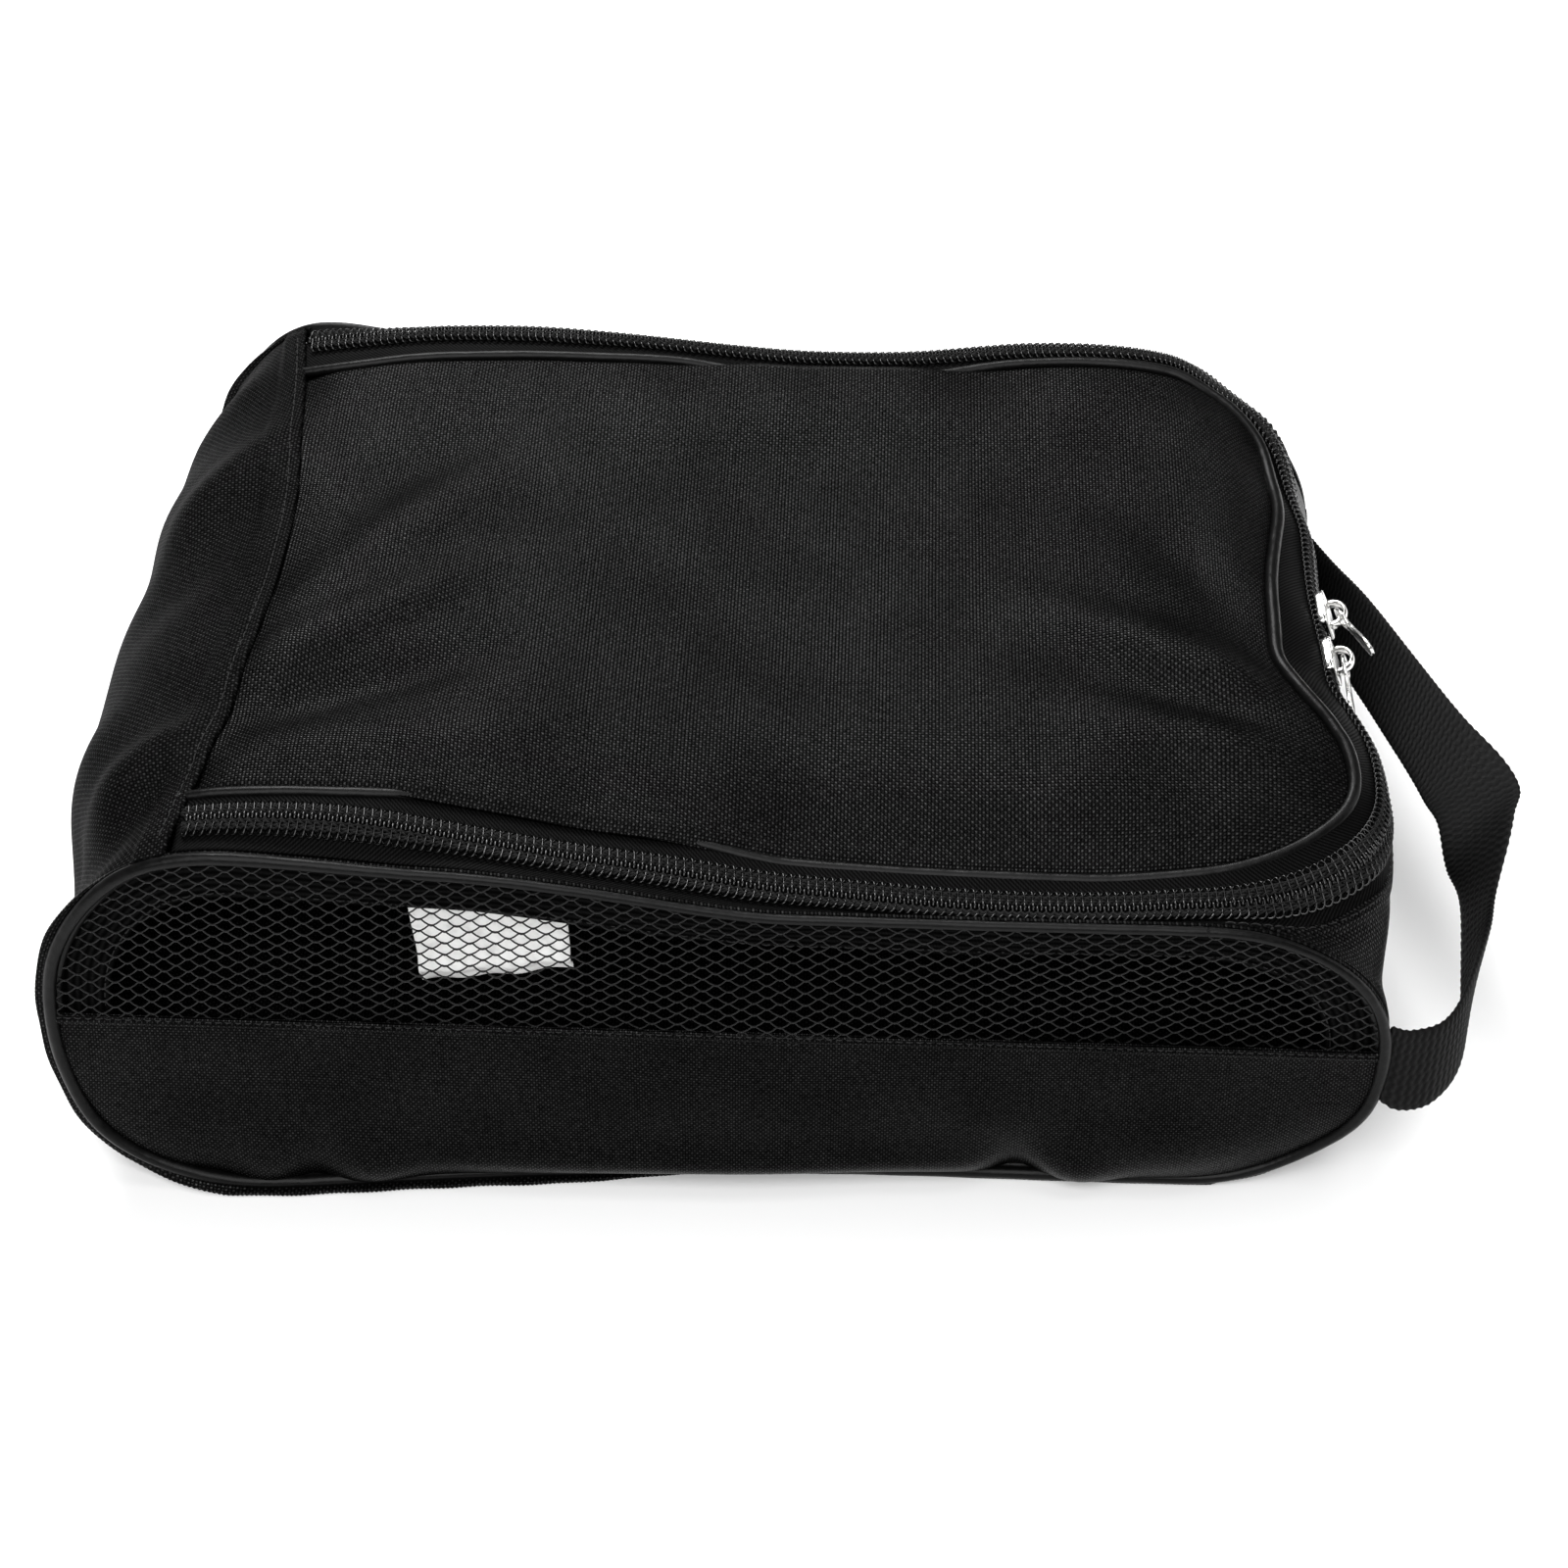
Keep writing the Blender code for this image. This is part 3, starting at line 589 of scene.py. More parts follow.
class Look:
    """A material and short ways to add the nodes that the materials below share."""

    def __init__(self, name, color, roughness, metallic=0.0, sheen=0.0, specular=0.5):
        self.made = bpy.data.materials.new(name)
        self.made.use_nodes = True
        self.tree = self.made.node_tree
        self.shader = self.tree.nodes["Principled BSDF"]
        self.set("Base Color", (*color, 1.0))
        self.set("Roughness", roughness)
        self.set("Metallic", metallic)
        self.set("Sheen Weight", sheen)
        self.set("Specular IOR Level", specular)

    def set(self, socket, value):
        self.plug(self.shader.inputs[socket], value)

    def plug(self, socket, value):
        if isinstance(value, bpy.types.NodeSocket):
            self.tree.links.new(value, socket)
        else:
            socket.default_value = value

    def math(self, operation, *values):
        node = self.tree.nodes.new("ShaderNodeMath")
        node.operation = operation
        for socket, value in zip(node.inputs, values):
            self.plug(socket, value)
        return node.outputs[0]

    def mul(self, a, b):
        return self.math("MULTIPLY", a, b)

    def mad(self, a, b, c):
        """a times b, plus c."""
        return self.math("MULTIPLY_ADD", a, b, c)

    def power(self, a, b):
        return self.math("POWER", a, b)

    def wave(self, value):
        return self.math("SINE", value)

    def weave(self):
        """The place in the cloth, in millimetres, and its parts."""
        node = self.tree.nodes.new("ShaderNodeAttribute")
        node.attribute_name = "weave"
        place = node.outputs["Vector"]
        parts = self.tree.nodes.new("ShaderNodeSeparateXYZ")
        self.plug(parts.inputs[0], place)
        return place, *parts.outputs

    def object_place(self):
        return self.tree.nodes.new("ShaderNodeTexCoord").outputs["Object"]

    def noise(self, vector, scale, detail=2.0, roughness=0.5):
        node = self.tree.nodes.new("ShaderNodeTexNoise")
        inputs = {"Vector": vector, "Scale": scale, "Detail": detail, "Roughness": roughness}
        for socket, value in inputs.items():
            self.plug(node.inputs[socket], value)
        return node.outputs["Fac"]

    def yarn_noise(self, place, scale_u, scale_v):
        """Noise stretched along one set of yarns."""
        node = self.tree.nodes.new("ShaderNodeMapping")
        node.inputs["Scale"].default_value = (scale_u, scale_v, 1.0)
        self.plug(node.inputs["Vector"], place)
        return self.noise(node.outputs[0], 1.0, 2.0, 0.6)

    def ramp(self, value, *stops):
        node = self.tree.nodes.new("ShaderNodeValToRGB")
        self.plug(node.inputs["Fac"], value)
        elements = node.color_ramp.elements
        while len(elements) < len(stops):
            elements.new(0.5)
        for element, (position, color) in zip(elements, stops):
            element.position = position
            element.color = (*color, 1.0)
        return node.outputs["Color"]

    def bump(self, height, distance, strength=1.0, normal=None):
        node = self.tree.nodes.new("ShaderNodeBump")
        node.inputs["Strength"].default_value = strength
        node.inputs["Distance"].default_value = distance
        self.plug(node.inputs["Height"], height)
        if normal is not None:
            self.plug(node.inputs["Normal"], normal)
        return node.outputs["Normal"]


def plain_weave(n, u, v, pitch_u, pitch_v):
    """(height of the threads, which set of threads is on top) of a plain weave."""
    across, along = (n.wave(n.mul(at, math.pi / pitch)) for at, pitch in ((u, pitch_u), (v, pitch_v)))
    product = n.mul(across, along)
    return n.power(n.math("ABSOLUTE", product), 0.6), n.mad(product, 0.5, 0.5)


def shades(color, *factors):
    return [tuple(min(channel * factor, 1.0) for channel in color) for factor in factors]


def woven_material(name, color, roughness, pitch_u, pitch_v, depth, gloss):
    """Plain-weave cloth, uneven from yarn to yarn, with a painted highlight on the yarn crowns and painted
    shade on the yarns beneath.
    """
    n = Look(name, color, roughness, specular=0.1)
    place, u, v, _ = n.weave()
    height, on_top = plain_weave(n, u, v, pitch_u, pitch_v)
    weft, warp = n.yarn_noise(place, 0.40, 2.0), n.yarn_noise(place, 2.0, 0.40)
    slub = n.noise(place, 0.55, 3.0, 0.7)
    blotch = n.noise(place, 0.040)
    # Painted light: the base colour is lighter on the upper yarns' crowns and darker on the yarns beneath
    # them; the yarn noise, slubs and blotches are the cloth's own tone
    crown = n.mul(n.power(on_top, 3.0), n.mad(weft, 1.6, 0.1))
    under = n.mul(n.power(n.math("SUBTRACT", 1.0, on_top), 3.0), warp)
    crown_light_and_tone = n.mul(n.mad(under, 0.75, crown), n.mad(slub, 1.7, 0.15))
    crown_light_and_tone = n.mul(crown_light_and_tone, n.mad(blotch, 0.7, 0.65))
    black, dark, normal, light = shades(color, 0.05, 0.5, 2.2, 7.0)
    n.set("Base Color", n.ramp(crown_light_and_tone, (0.02, black), (0.16, dark), (0.45, normal), (1.0, light)))
    n.set("Specular IOR Level", n.mad(n.power(crown_light_and_tone, 1.35), gloss, 0.002))
    n.set("Roughness", n.mad(weft, 0.25, roughness - 0.12))
    n.set("Normal", n.bump(n.mad(weft, 0.5, n.mad(on_top, 0.35, height)), depth))
    return n.made


def twill_material(name, color, roughness, pitch, depth, lean=1.0):
    """Fine twill tape: narrow slanting ribs, with painted shade in their grooves."""
    n = Look(name, color, roughness, specular=0.1)
    place, u, v, _ = n.weave()
    rib = n.wave(n.mul(n.mad(u, lean, v), math.pi / pitch))
    cut = n.wave(n.mul(u, math.pi * 2 / pitch))
    fine = n.mad(n.mad(cut, 0.3, rib), 0.38, 0.5)
    slub = n.noise(place, 0.9, 3.0, 0.7)
    # Painted shade: the base colour is darker in the grooves between the ribs and lighter on their crowns,
    # over the slubs' own tone
    crown_light_and_tone = n.mul(n.power(fine, 1.5), n.mad(slub, 1.8, 0.1))
    black, dark, normal, light = shades(color, 0.5, 0.8, 1.4, 2.4)
    n.set("Base Color", n.ramp(crown_light_and_tone, (0.03, black), (0.2, dark), (0.5, normal), (1.0, light)))
    n.set("Specular IOR Level", n.mad(crown_light_and_tone, 0.05, 0.01))
    n.set("Roughness", n.mad(slub, 0.2, roughness - 0.1))
    n.set("Normal", n.bump(fine, depth))
    return n.made


def webbing_material(name, color):
    """Coarse webbing: the ribs are in the mesh, whose weave values also carry painted light for the rib
    crowns; this adds the yarn's filaments and wear.
    """
    n = Look(name, color, 0.50, specular=0.11)
    place, u, v, rib = n.weave()
    strands = n.wave(n.mad(u, 14.0, n.mul(v, 9.0)))
    grain = n.noise(place, 1.6, 3.0, 0.65)
    # Painted light: the rib value lightens the crowns and darkens the grooves; the grain is the yarn's own
    crown_light_and_tone = n.mad(rib, 0.60, n.mul(grain, 0.45))
    dark, normal, light = shades(color, 0.05, 0.6, 4.5)
    n.set("Base Color", n.ramp(crown_light_and_tone, (0.18, dark), (0.5, normal), (0.9, light)))
    n.set("Roughness", n.mad(grain, 0.25, 0.48))
    n.set("Normal", n.bump(n.mad(strands, 0.25, n.mul(grain, 0.9)), 0.00012))
    return n.made


def vinyl_material(name, color):
    """Glossy piping vinyl with faint waviness and rubbed patches."""
    n = Look(name, color, 0.34, specular=0.12)
    place = n.weave()[0]
    swell, grain, rubbed = n.noise(place, 0.12, 3.0), n.noise(place, 3.0), n.noise(place, 0.35, 4.0, 0.7)
    dark, light = shades(color, 0.8, 1.7)
    n.set("Base Color", n.ramp(rubbed, (0.4, dark), (0.8, light)))
    n.set("Roughness", n.mad(rubbed, 0.30, 0.20))
    n.set("Normal", n.bump(grain, 0.00003, normal=n.bump(swell, 0.0010, 0.5)))
    return n.made


def coil_material(name, color):
    """Polyester monofilament: smooth and shiny, with slight draw lines."""
    n = Look(name, color, 0.22, specular=0.38)
    grain = n.noise(n.weave()[0], 1.1)
    dark, light = shades(color, 0.7, 1.6)
    n.set("Base Color", n.ramp(grain, (0.35, dark), (0.7, light)))
    n.set("Roughness", n.mad(grain, 0.16, 0.07))
    return n.made


def thread_material(name, color, roughness):
    """Twisted sewing or knitting thread."""
    n = Look(name, color, roughness, sheen=0.02, specular=0.2)
    place = n.object_place()
    dark, light = shades(color, 0.6, 1.6)
    n.set("Base Color", n.ramp(n.noise(place, 900.0, 2.0, 0.6), (0.35, dark), (0.7, light)))
    n.set("Normal", n.bump(n.noise(place, 2600.0, 1.0), 0.0001, 0.6))
    return n.made


def nickel_material(name):
    """Bright nickel plate with faint casting ripples, fine scuffs and dulled spots."""
    n = Look(name, (0.78, 0.775, 0.76), 0.16, metallic=1.0)
    place = n.object_place()
    ripple, scuff = n.noise(place, 260.0, 3.0), n.noise(place, 1500.0, 4.0, 0.7)
    n.set("Base Color", n.ramp(ripple, (0.3, (0.62, 0.62, 0.61)), (0.6, (0.82, 0.815, 0.80))))
    n.set("Roughness", n.mad(scuff, 0.24, 0.06))
    n.set("Normal", n.bump(ripple, 0.0004, 0.35))
    return n.made


def label_material(name):
    """White satin label cloth, unprinted, with painted shade in the hollows between its threads."""
    n = Look(name, (0.82, 0.82, 0.81), 0.45, sheen=0.2)
    place, u, v, _ = n.weave()
    height, _ = plain_weave(n, u, v, 0.28, 0.34)
    # Painted shade: thread crowns lighter and the crossings between them darker, over random tone
    crown_light_and_tone = n.mad(height, 0.3, n.noise(place, 0.3))
    n.set("Base Color", n.ramp(crown_light_and_tone, (0.3, (0.60, 0.60, 0.59)), (0.7, (0.86, 0.86, 0.85))))
    n.set("Normal", n.bump(height, 0.00005))
    return n.made


# Woven looks: colour, roughness, the two yarn pitches in millimetres, relief, gloss
WOVEN = woven_material("woven_polyester", grey(0.0012), 0.37, 0.93, 0.80, 0.00013, 0.31)
# The hinge-end wall's woven polyester with a lighter base colour: painted light for the light that falls on
# that wall
WOVEN_WALL_LIT = woven_material("woven_end", grey(0.0034), 0.60, 0.93, 0.80, 0.00013, 0.11)
NYLON = woven_material("smooth_nylon", grey(0.0006), 0.34, 0.70, 0.82, 0.00005, 0.31)
TWILL = twill_material("zip_tape", grey(0.0014), 0.60, 0.62, 0.00005)
BINDING = twill_material("binding_tape", grey(0.0012), 0.80, 0.9, 0.00008, lean=0.0)
WEBBING = webbing_material("webbing", grey(0.0024))
PIPING = vinyl_material("gloss_piping", grey(0.0022))
COIL = coil_material("zip_coil", grey(0.0016))
THREAD = thread_material("thread", grey(0.009), 0.6)
SEWING = thread_material("coil_sewing", grey(0.0016), 0.75)
NET = thread_material("knitted_mesh", grey(0.0062), 0.5)
NICKEL = nickel_material("nickel")
LABEL = label_material("label_cloth")


# Camera, light and floor


def add_camera():
    """A long lens, 44 degrees above the bag and nearly square to its near side."""
    azimuth, elevation = math.radians(2.177), math.radians(44.33)
    target, distance = Vector((0.01357, -0.01225, 0.0460)), 0.8348
    away = Vector((
        math.sin(azimuth) * math.cos(elevation),
        -math.cos(azimuth) * math.cos(elevation),
        math.sin(elevation),
    ))
    data = bpy.data.cameras.new("camera")
    data.lens, data.sensor_width = 66.78, 36.0
    data.clip_start, data.clip_end = 0.01, 20.0
    camera = bpy.data.objects.new("camera", data)
    bpy.context.scene.collection.objects.link(camera)
    camera.location = target + away * distance
    camera.rotation_euler = away.to_track_quat("Z", "Y").to_euler()
    bpy.context.scene.camera = camera


def add_area(name, location, target, size, power, size_y=None):
    """A soft light that faces target."""
    data = bpy.data.lights.new(name, "AREA")
    data.energy, data.size = power, size
    if size_y:
        data.shape, data.size_y = "RECTANGLE", size_y
    lamp = bpy.data.objects.new(name, data)
    bpy.context.scene.collection.objects.link(lamp)
    lamp.location = location
    lamp.rotation_euler = (Vector(location) - Vector(target)).to_track_quat("Z", "Y").to_euler()


def add_stage():
    """A pale floor, a dim white surround and soft lights: behind, in front, above and at both sides."""
    scene = bpy.context.scene
    scene.view_settings.view_transform = "Standard"
    world = bpy.data.worlds.new("studio")
    world.use_nodes = True
    color, strength = world.node_tree.nodes["Background"].inputs[:2]
    color.default_value, strength.default_value = (1.0, 1.0, 1.0, 1.0), 0.16
    scene.world = world
    middle = (0.0, 0.0, 0.05)
    add_area("soft_rear", (-0.28, 0.92, 1.22), middle, 0.75, 26.0)
    add_area("soft_front", (-0.20, -1.30, 1.50), middle, 1.7, 46.0)
    add_area("soft_high", (0.30, 0.10, 1.65), middle, 0.9, 7.0)
    add_area("soft_left", (-1.35, 0.10, 0.45), (-0.05, 0.0, 0.06), 0.5, 0.3, 0.9)
    add_area("strip_right", (1.25, 0.15, 0.60), (0.1, 0.0, 0.06), 0.3, 3.0, 1.2)
    mesh = bpy.data.meshes.new("floor")
    reach = 6.0
    corners = [(x * reach, y * reach, 0) for x, y in ((-1, -1), (1, -1), (1, 1), (-1, 1))]
    mesh.from_pydata(corners, [], [(0, 1, 2, 3)])
    mesh.materials.append(Look("floor", grey(0.93), 0.9, specular=0.1).made)
    floor = bpy.data.objects.new("floor", mesh)
    floor.location.z = -0.0004  # just under the base, so that the two never share a plane
    scene.collection.objects.link(floor)


# Band: lid, end walls, base


def attach(thing, slot, *nodes, body="body"):
    """Hides the CAD nodes that a finished piece stands for and puts it under its body; the lid's pieces are
    baked into place instead. slot is not used.
    """
    if nodes:
        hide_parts(*nodes)
    if body == "lid":
        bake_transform(thing)
    else:
        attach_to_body(thing, body)


def add_stitches(name, slot, points, normals, *sizes, body="body"):
    attach(stitches(name, points, normals, *sizes), slot, body=body)


def coons(near, far, start, end, u, v):
    """A patch of (s, y) points between four edge curves, as a grid of u by v."""
    u, v = u[:, None, None], v[None, :, None]
    near, far, start, end = near[:, None], far[:, None], start[None], end[None]
    sides = (1 - v) * near + v * far + (1 - u) * start + u * end
    corners = (1 - u) * ((1 - v) * near[:1] + v * far[:1]) + u * ((1 - v) * near[-1:] + v * far[-1:])
    return sides - corners


def make_lid():
    """The lid's cloth: tucked under the seam fold, sewn to its piping, slack over it in two places."""
    corner = TRACK_END - TRACK_CORNER - HINGE_X + TRACK_CORNER * math.pi / 4
    u = np.linspace(0, 1, 250)
    u = 0.8 * u + 0.2 * np.sin(u * math.pi / 2)
    v = np.linspace(0, 1, 190)
    v = 0.72 * v + 0.28 * (0.5 - 0.5 * np.cos(v * math.pi))

    def edge(lengths):
        lateral = -(lid_edge(lengths) - 0.0002)
        return np.stack(track(lengths, lateral), -1)

    first = 0.010  # the cloth's edge leaves the seam here, a length along the track
    near = edge(first + (corner - first) * u)
    far = edge(TRACK_LENGTH - first - (corner - first) * u)
    end = edge(corner + (TRACK_LENGTH - 2 * corner) * v)
    start_y = near[0, 1] + (far[0, 1] - near[0, 1]) * v
    start = np.stack([seam_s(start_y) - 0.004, start_y], -1)
    near[:, 0] += (start[0, 0] - near[0, 0]) * (1 - smooth(u, 0, 0.4))
    far[:, 0] += (start[-1, 0] - far[0, 0]) * (1 - smooth(u, 0, 0.4))
    place = coons(near, far, start, end, u, v)
    s, y = place[..., 0], place[..., 1]
    edges = (near[:, None], far[:, None], end[None])
    inside = np.min([np.linalg.norm(place - line, axis=-1) for line in edges], axis=0)
    along = np.broadcast_to((first + (corner - first) * u)[:, None], s.shape)
    over = lid_overhang(np.where(v[None, :] > 0.5, TRACK_LENGTH - along, along))
    lift = -0.0016 + 0.0014 * smooth(inside, 0.0, 0.004) + 0.0012 * smooth(inside, 0.002, 0.022)
    lift = lift + (1.15 * over) * (1 - smooth(inside, 0.003, 0.042))
    lift = lift - 0.0016 * (1 - smooth(s - seam_s(y), -0.002, 0.012))
    lid = cloth("lid_cloth", band(s, y, lift), cloth_place(s, y), LID_THICK, WOVEN)
    attach(lid, "woven_polyester", "lid_panel", body="lid")


def make_lid_piping():
    lengths = np.linspace(TRACK_START - 0.001, TRACK_LENGTH - TRACK_START + 0.001, 900)
    sunk = 0.0009 * smooth(lengths, 0.10, 0.16) * (1 - smooth(lengths, 0.27, 0.31))
    points, normals = beside_track(lengths, -lid_edge(lengths) - lid_overhang(lengths), -0.0004 - sunk)
    swell = 1 + 0.03 * np.sin(lengths * 190) * np.sin(lengths * 71)
    radius = 0.00155 + 0.00035 * smooth(lengths, 0.28, 0.33) * (1 - smooth(lengths, 0.50, 0.56))
    cord = tube("lid_piping_cord", points, normals, radius * swell, radius * 0.97 * swell, PIPING, 14)
    attach(cord, "gloss_piping", "lid_piping", body="lid")


def make_tapes():
    """Zip tapes with their woven edges, each stitched down along its outer side."""
    lengths = np.linspace(TRACK_START, TRACK_LENGTH - TRACK_START, 760)
    share = np.linspace(0, 1, 14)
    inner_edge = 0.0003
    widths = {
        "lid": lid_edge(lengths) + lid_overhang(lengths) + 0.0002,
        "body": np.full_like(lengths, BODY_TAPE + 0.0012),
    }
    for body, sign, inset in (("lid", -1, 0.0026), ("body", 1, 0.0024)):
        across = inner_edge + (widths[body][:, None] - inner_edge) * share[None, :]
        s, y = track(lengths[:, None], sign * across)
        hollow = -0.0007 - 0.0005 * np.sin(math.pi * share)[None, :]
        weave = cloth_place(lengths[:, None], across)
        tape = cloth(f"zip_tape_{body}_cloth", band(s, y, hollow), weave, THIN_CLOTH, TWILL, outward=sign)
        attach(tape, "zip_tape", f"zip_tape_{body}", body=body)
        seam, normals = beside_track(lengths, sign * (widths[body] - inset), -0.00078)
        add_stitches(f"zip_tape_{body}_stitches", "zip_tape", seam, normals, body=body)


def make_coils():
    """Two interlocked coil rows, each a spiral of monofilament sewn to its tape by four threads."""
    start, end = TRACK_START + 0.001, TRACK_LENGTH - TRACK_START - 0.001
    teeth = int((end - start) / TOOTH_PITCH)
    # One turn of the spiral: share of the pitch, distance from the centre line, height, radius
    turn = np.array([
        (0.00, 0.00400, 0.00034, 0.00030),
        (0.10, 0.00465, 0.00042, 0.00030),
        (0.28, 0.00510, 0.00062, 0.00031),
        (0.48, 0.00525, 0.00092, 0.00031),
        (0.68, 0.00510, 0.00126, 0.00031),
        (0.84, 0.00455, 0.00160, 0.00031),
        (0.93, 0.00370, 0.00172, 0.00031),
        (0.97, 0.00240, 0.00150, 0.00031),
        (0.99, 0.00120, 0.00170, 0.00034),
        (1.00, 0.00020, 0.00194, 0.00042),
        (1.00, -0.00066, 0.00150, 0.00047),
        (1.00, -0.00076, 0.00096, 0.00046),
        (1.00, -0.00010, 0.00054, 0.00038),
        (1.00, 0.00110, 0.00036, 0.00031),
        (1.00, 0.00260, 0.00032, 0.00030),
    ])  # fmt: skip
    # The sewing threads' distance from the centre line and height
    seams = ((0.00145, 0.00150), (0.00215, 0.00142), (0.00285, 0.00146), (0.00350, 0.00158))
    sides = 6
    quarters = np.arange(teeth * 4) / 4
    for body, sign, phase in (("lid", -1, 0.0), ("body", 1, 0.5)):
        lengths = start + (np.arange(teeth)[:, None] + phase + turn[None, :, 0]) * TOOTH_PITCH
        lengths = lengths.ravel()
        lateral, height, radius = (np.tile(column, teeth) for column in turn[:, 1:].T)
        lateral = sign * lateral
        points, _ = beside_track(lengths, lateral, height - 0.0006)
        verts, faces = ring_tube(points, *carried_frames(points), radius, radius, sides)
        weave = np.repeat(cloth_place(lengths, lateral), sides, axis=0)
        row = add_mesh(f"zip_coil_{body}_spiral", verts, faces, COIL, weave)
        attach(row, "zip_coil", f"zip_coil_{body}", body=body)
        for k, (at, high) in enumerate(seams):
            lengths = start + (quarters + phase) * TOOTH_PITCH
            over = 0.72 + 0.28 * np.cos((quarters - 0.02 - 0.25 * k) * 2 * math.pi)
            wander = 0.00016 * np.cos(quarters * 2 * math.pi + 1.7 * k)
            points, normals = beside_track(lengths, sign * (at + wander), -0.0003 + (high + 0.00006) * over)
            thread = tube(f"zip_coil_{body}_thread_{k}", points, normals, 0.00034, 0.00030, SEWING, 5)
            attach(thread, "zip_coil", body=body)


def edge_roll(back, radius):
    """The rounded rise of a folded edge, from 0 at the edge to 1 at radius."""
    return np.sqrt(np.clip(1 - (1 - np.clip(back / radius, 0, 1)) ** 2, 0, 1))


def turned_in(y):
    """How far an end wall dips beside the side seams."""
    return TURNED_IN * smooth(np.abs(y), SIDE_Y - 0.006, SIDE_Y - 0.001)


def make_hinge_end():
    """The hinge-end wall. Its edge is folded under and top-stitched over the lid."""
    reach = SIDE_Y - PIPING_R * 0.4
    spread = math.pi / 2 * 0.85
    y_row = np.sin(np.linspace(-1, 1, 121) * spread) / math.sin(spread) * reach
    fold = 0.012  # the share of the wall that has finer rows, and their length
    down = np.concatenate([np.linspace(0, fold, 22)[:-1], np.linspace(fold, 1, 130)])
    top = seam_s(y_row)[None, :]
    near_top = np.where(down[:, None] < fold, down[:, None], fold)
    rest = np.clip((down[:, None] - fold) / (1 - fold), 0, 1)
    s = top - near_top + (LEFT_BASE - (top - fold)) * rest
    y = np.broadcast_to(y_row[None, :], s.shape)
    back = top - s
    lift = FOLD_RISE * edge_roll(back, 0.0011) * (1 - smooth(back, FOLD_WIDTH, FOLD_WIDTH + 0.004))
    lift = lift - 0.00035 * bell(back, 0.0032, 0.0007)
    lift = lift - turned_in(y)
    wall = cloth("hinge_end_cloth", band(s, y, lift), cloth_place(s, y), WALL_THICK, WOVEN_WALL_LIT, outward=-1)
    attach(wall, "woven_polyester", "hinge_end_panel")
    y_line = np.linspace(-0.106, 0.106, 240)
    line = lifted(seam_s(y_line) - 0.0032, y_line, FOLD_RISE - 0.00030)
    add_stitches("hinge_seam_stitches", "woven_polyester", *line)


def make_handle_end():
    """The handle-end wall, cut out round the zip's tape and running up beside its corners."""
    reach = TRACK_CORNER + BODY_TAPE + 0.0002
    centre_s, centre_y = TRACK_END - TRACK_CORNER, TRACK_Y - TRACK_CORNER
    edge_y = SIDE_Y - PIPING_R * 0.4
    last = math.acos(min((edge_y - centre_y) / reach, 1.0))
    angle = np.linspace(last, math.pi / 2, 46)
    side_y, side_top = centre_y + reach * np.cos(angle), centre_s + reach * np.sin(angle)
    middle = np.linspace(centre_y, -centre_y, 40)[1:-1]
    y_row = np.concatenate([side_y, middle, -side_y[::-1]])
    tops = np.concatenate([side_top, np.full(len(middle), side_top[-1]), side_top[::-1]])
    share = np.linspace(0, 1, 110)[:, None]
    s = tops[None, :] + (RIGHT_BASE - tops[None, :]) * share
    y = np.broadcast_to(y_row[None, :], s.shape)
    back = s - tops[None, :]
    lift = 0.0009 * edge_roll(back, 0.0009) * (1 - smooth(back, 0.004, 0.008)) - 0.0004
    lift = lift - 0.00025 * bell(back, 0.0024, 0.0006)
    lift = lift - turned_in(y)
    wall = cloth("handle_end_cloth", band(s, y, lift), cloth_place(s, y), WALL_THICK, WOVEN, outward=-1)
    attach(wall, "woven_polyester", "handle_end_panel")
    add_stitches("handle_end_stitches", "woven_polyester", *lifted(tops + 0.0024, y_row, 0.00028))


def make_base():
    """The flat base the bag rests on, a shade above the floor where it isn't loaded."""
    x = np.linspace(LEFT_FLAT - 0.004, RIGHT_FLAT + 0.004, 90)[:, None]
    y = np.linspace(-1, 1, 70)[None, :] * (SIDE_Y - PIPING_R)
    points = placed(*np.broadcast_arrays(x, y), np.zeros((90, 70)))
    x, y = points[..., 0], points[..., 1]
    press = 0.5 + 0.5 * np.sin(x * 70 + 1.5 * np.sin(y * 40)) * np.sin(y * 55)
    points[..., 2] = 0.0002 + 0.0010 * press * smooth(np.abs(y), 0.118, 0.080)
    base = cloth("base_cloth", points, points[..., :2] * MM, -WALL_THICK, WOVEN)
    attach(base, "woven_polyester", "base_panel")


# Side panels


PUCKERS = ((-0.110, 0.10, 0.0024), (0.081, -0.16, 0.0030), (-0.135, 0.25, 0.0014))  # x, lean, depth


def belly(x, share):
    """How far the plain lower cloth stands out, at a share of its height from the base."""
    fade = np.cos(math.pi / 2 * np.clip(np.abs(x) / END_X, 0, 1)) ** 0.5
    slack = bell(x, 0.000, 0.085)
    bulge = (0.0045 + 0.0016 * slack) * np.sin(math.pi * share**0.62)
    low = 0.0044 * slack * bell(share, 0.17, 0.14)
    pucker = 0.0
    for at, lean, depth in PUCKERS:
        line = x - at - lean * share * 0.05
        ridge = bell(line, 0.0, 0.008) - 0.8 * bell(line, 0.017, 0.010)
        pucker = pucker + depth * ridge * bell(share, 0.10, 0.22)
    ripple = 0.0004 * np.sin(x * 95 + 3 * share) * np.sin(math.pi * share)
    swollen = 0.0042 * bell(x, 0.122, 0.021) * bell(share, 0.30, 0.24)
    return fade * (bulge + low + swollen - 1.5 * pucker + ripple)


def panel_x(inset, count):
    """x of a side panel's columns, closer together round its ends."""
    ends = np.linspace(0.06, math.pi / 2, count // 4)
    left = LEFT_FLAT - (LEFT_EDGE.reach - inset) * np.cos(ends)
    right = RIGHT_FLAT + (RIGHT_EDGE.reach - inset) * np.cos(ends)
    return np.concatenate([left, np.linspace(LEFT_FLAT, RIGHT_FLAT, count // 2)[1:-1], right[::-1]])


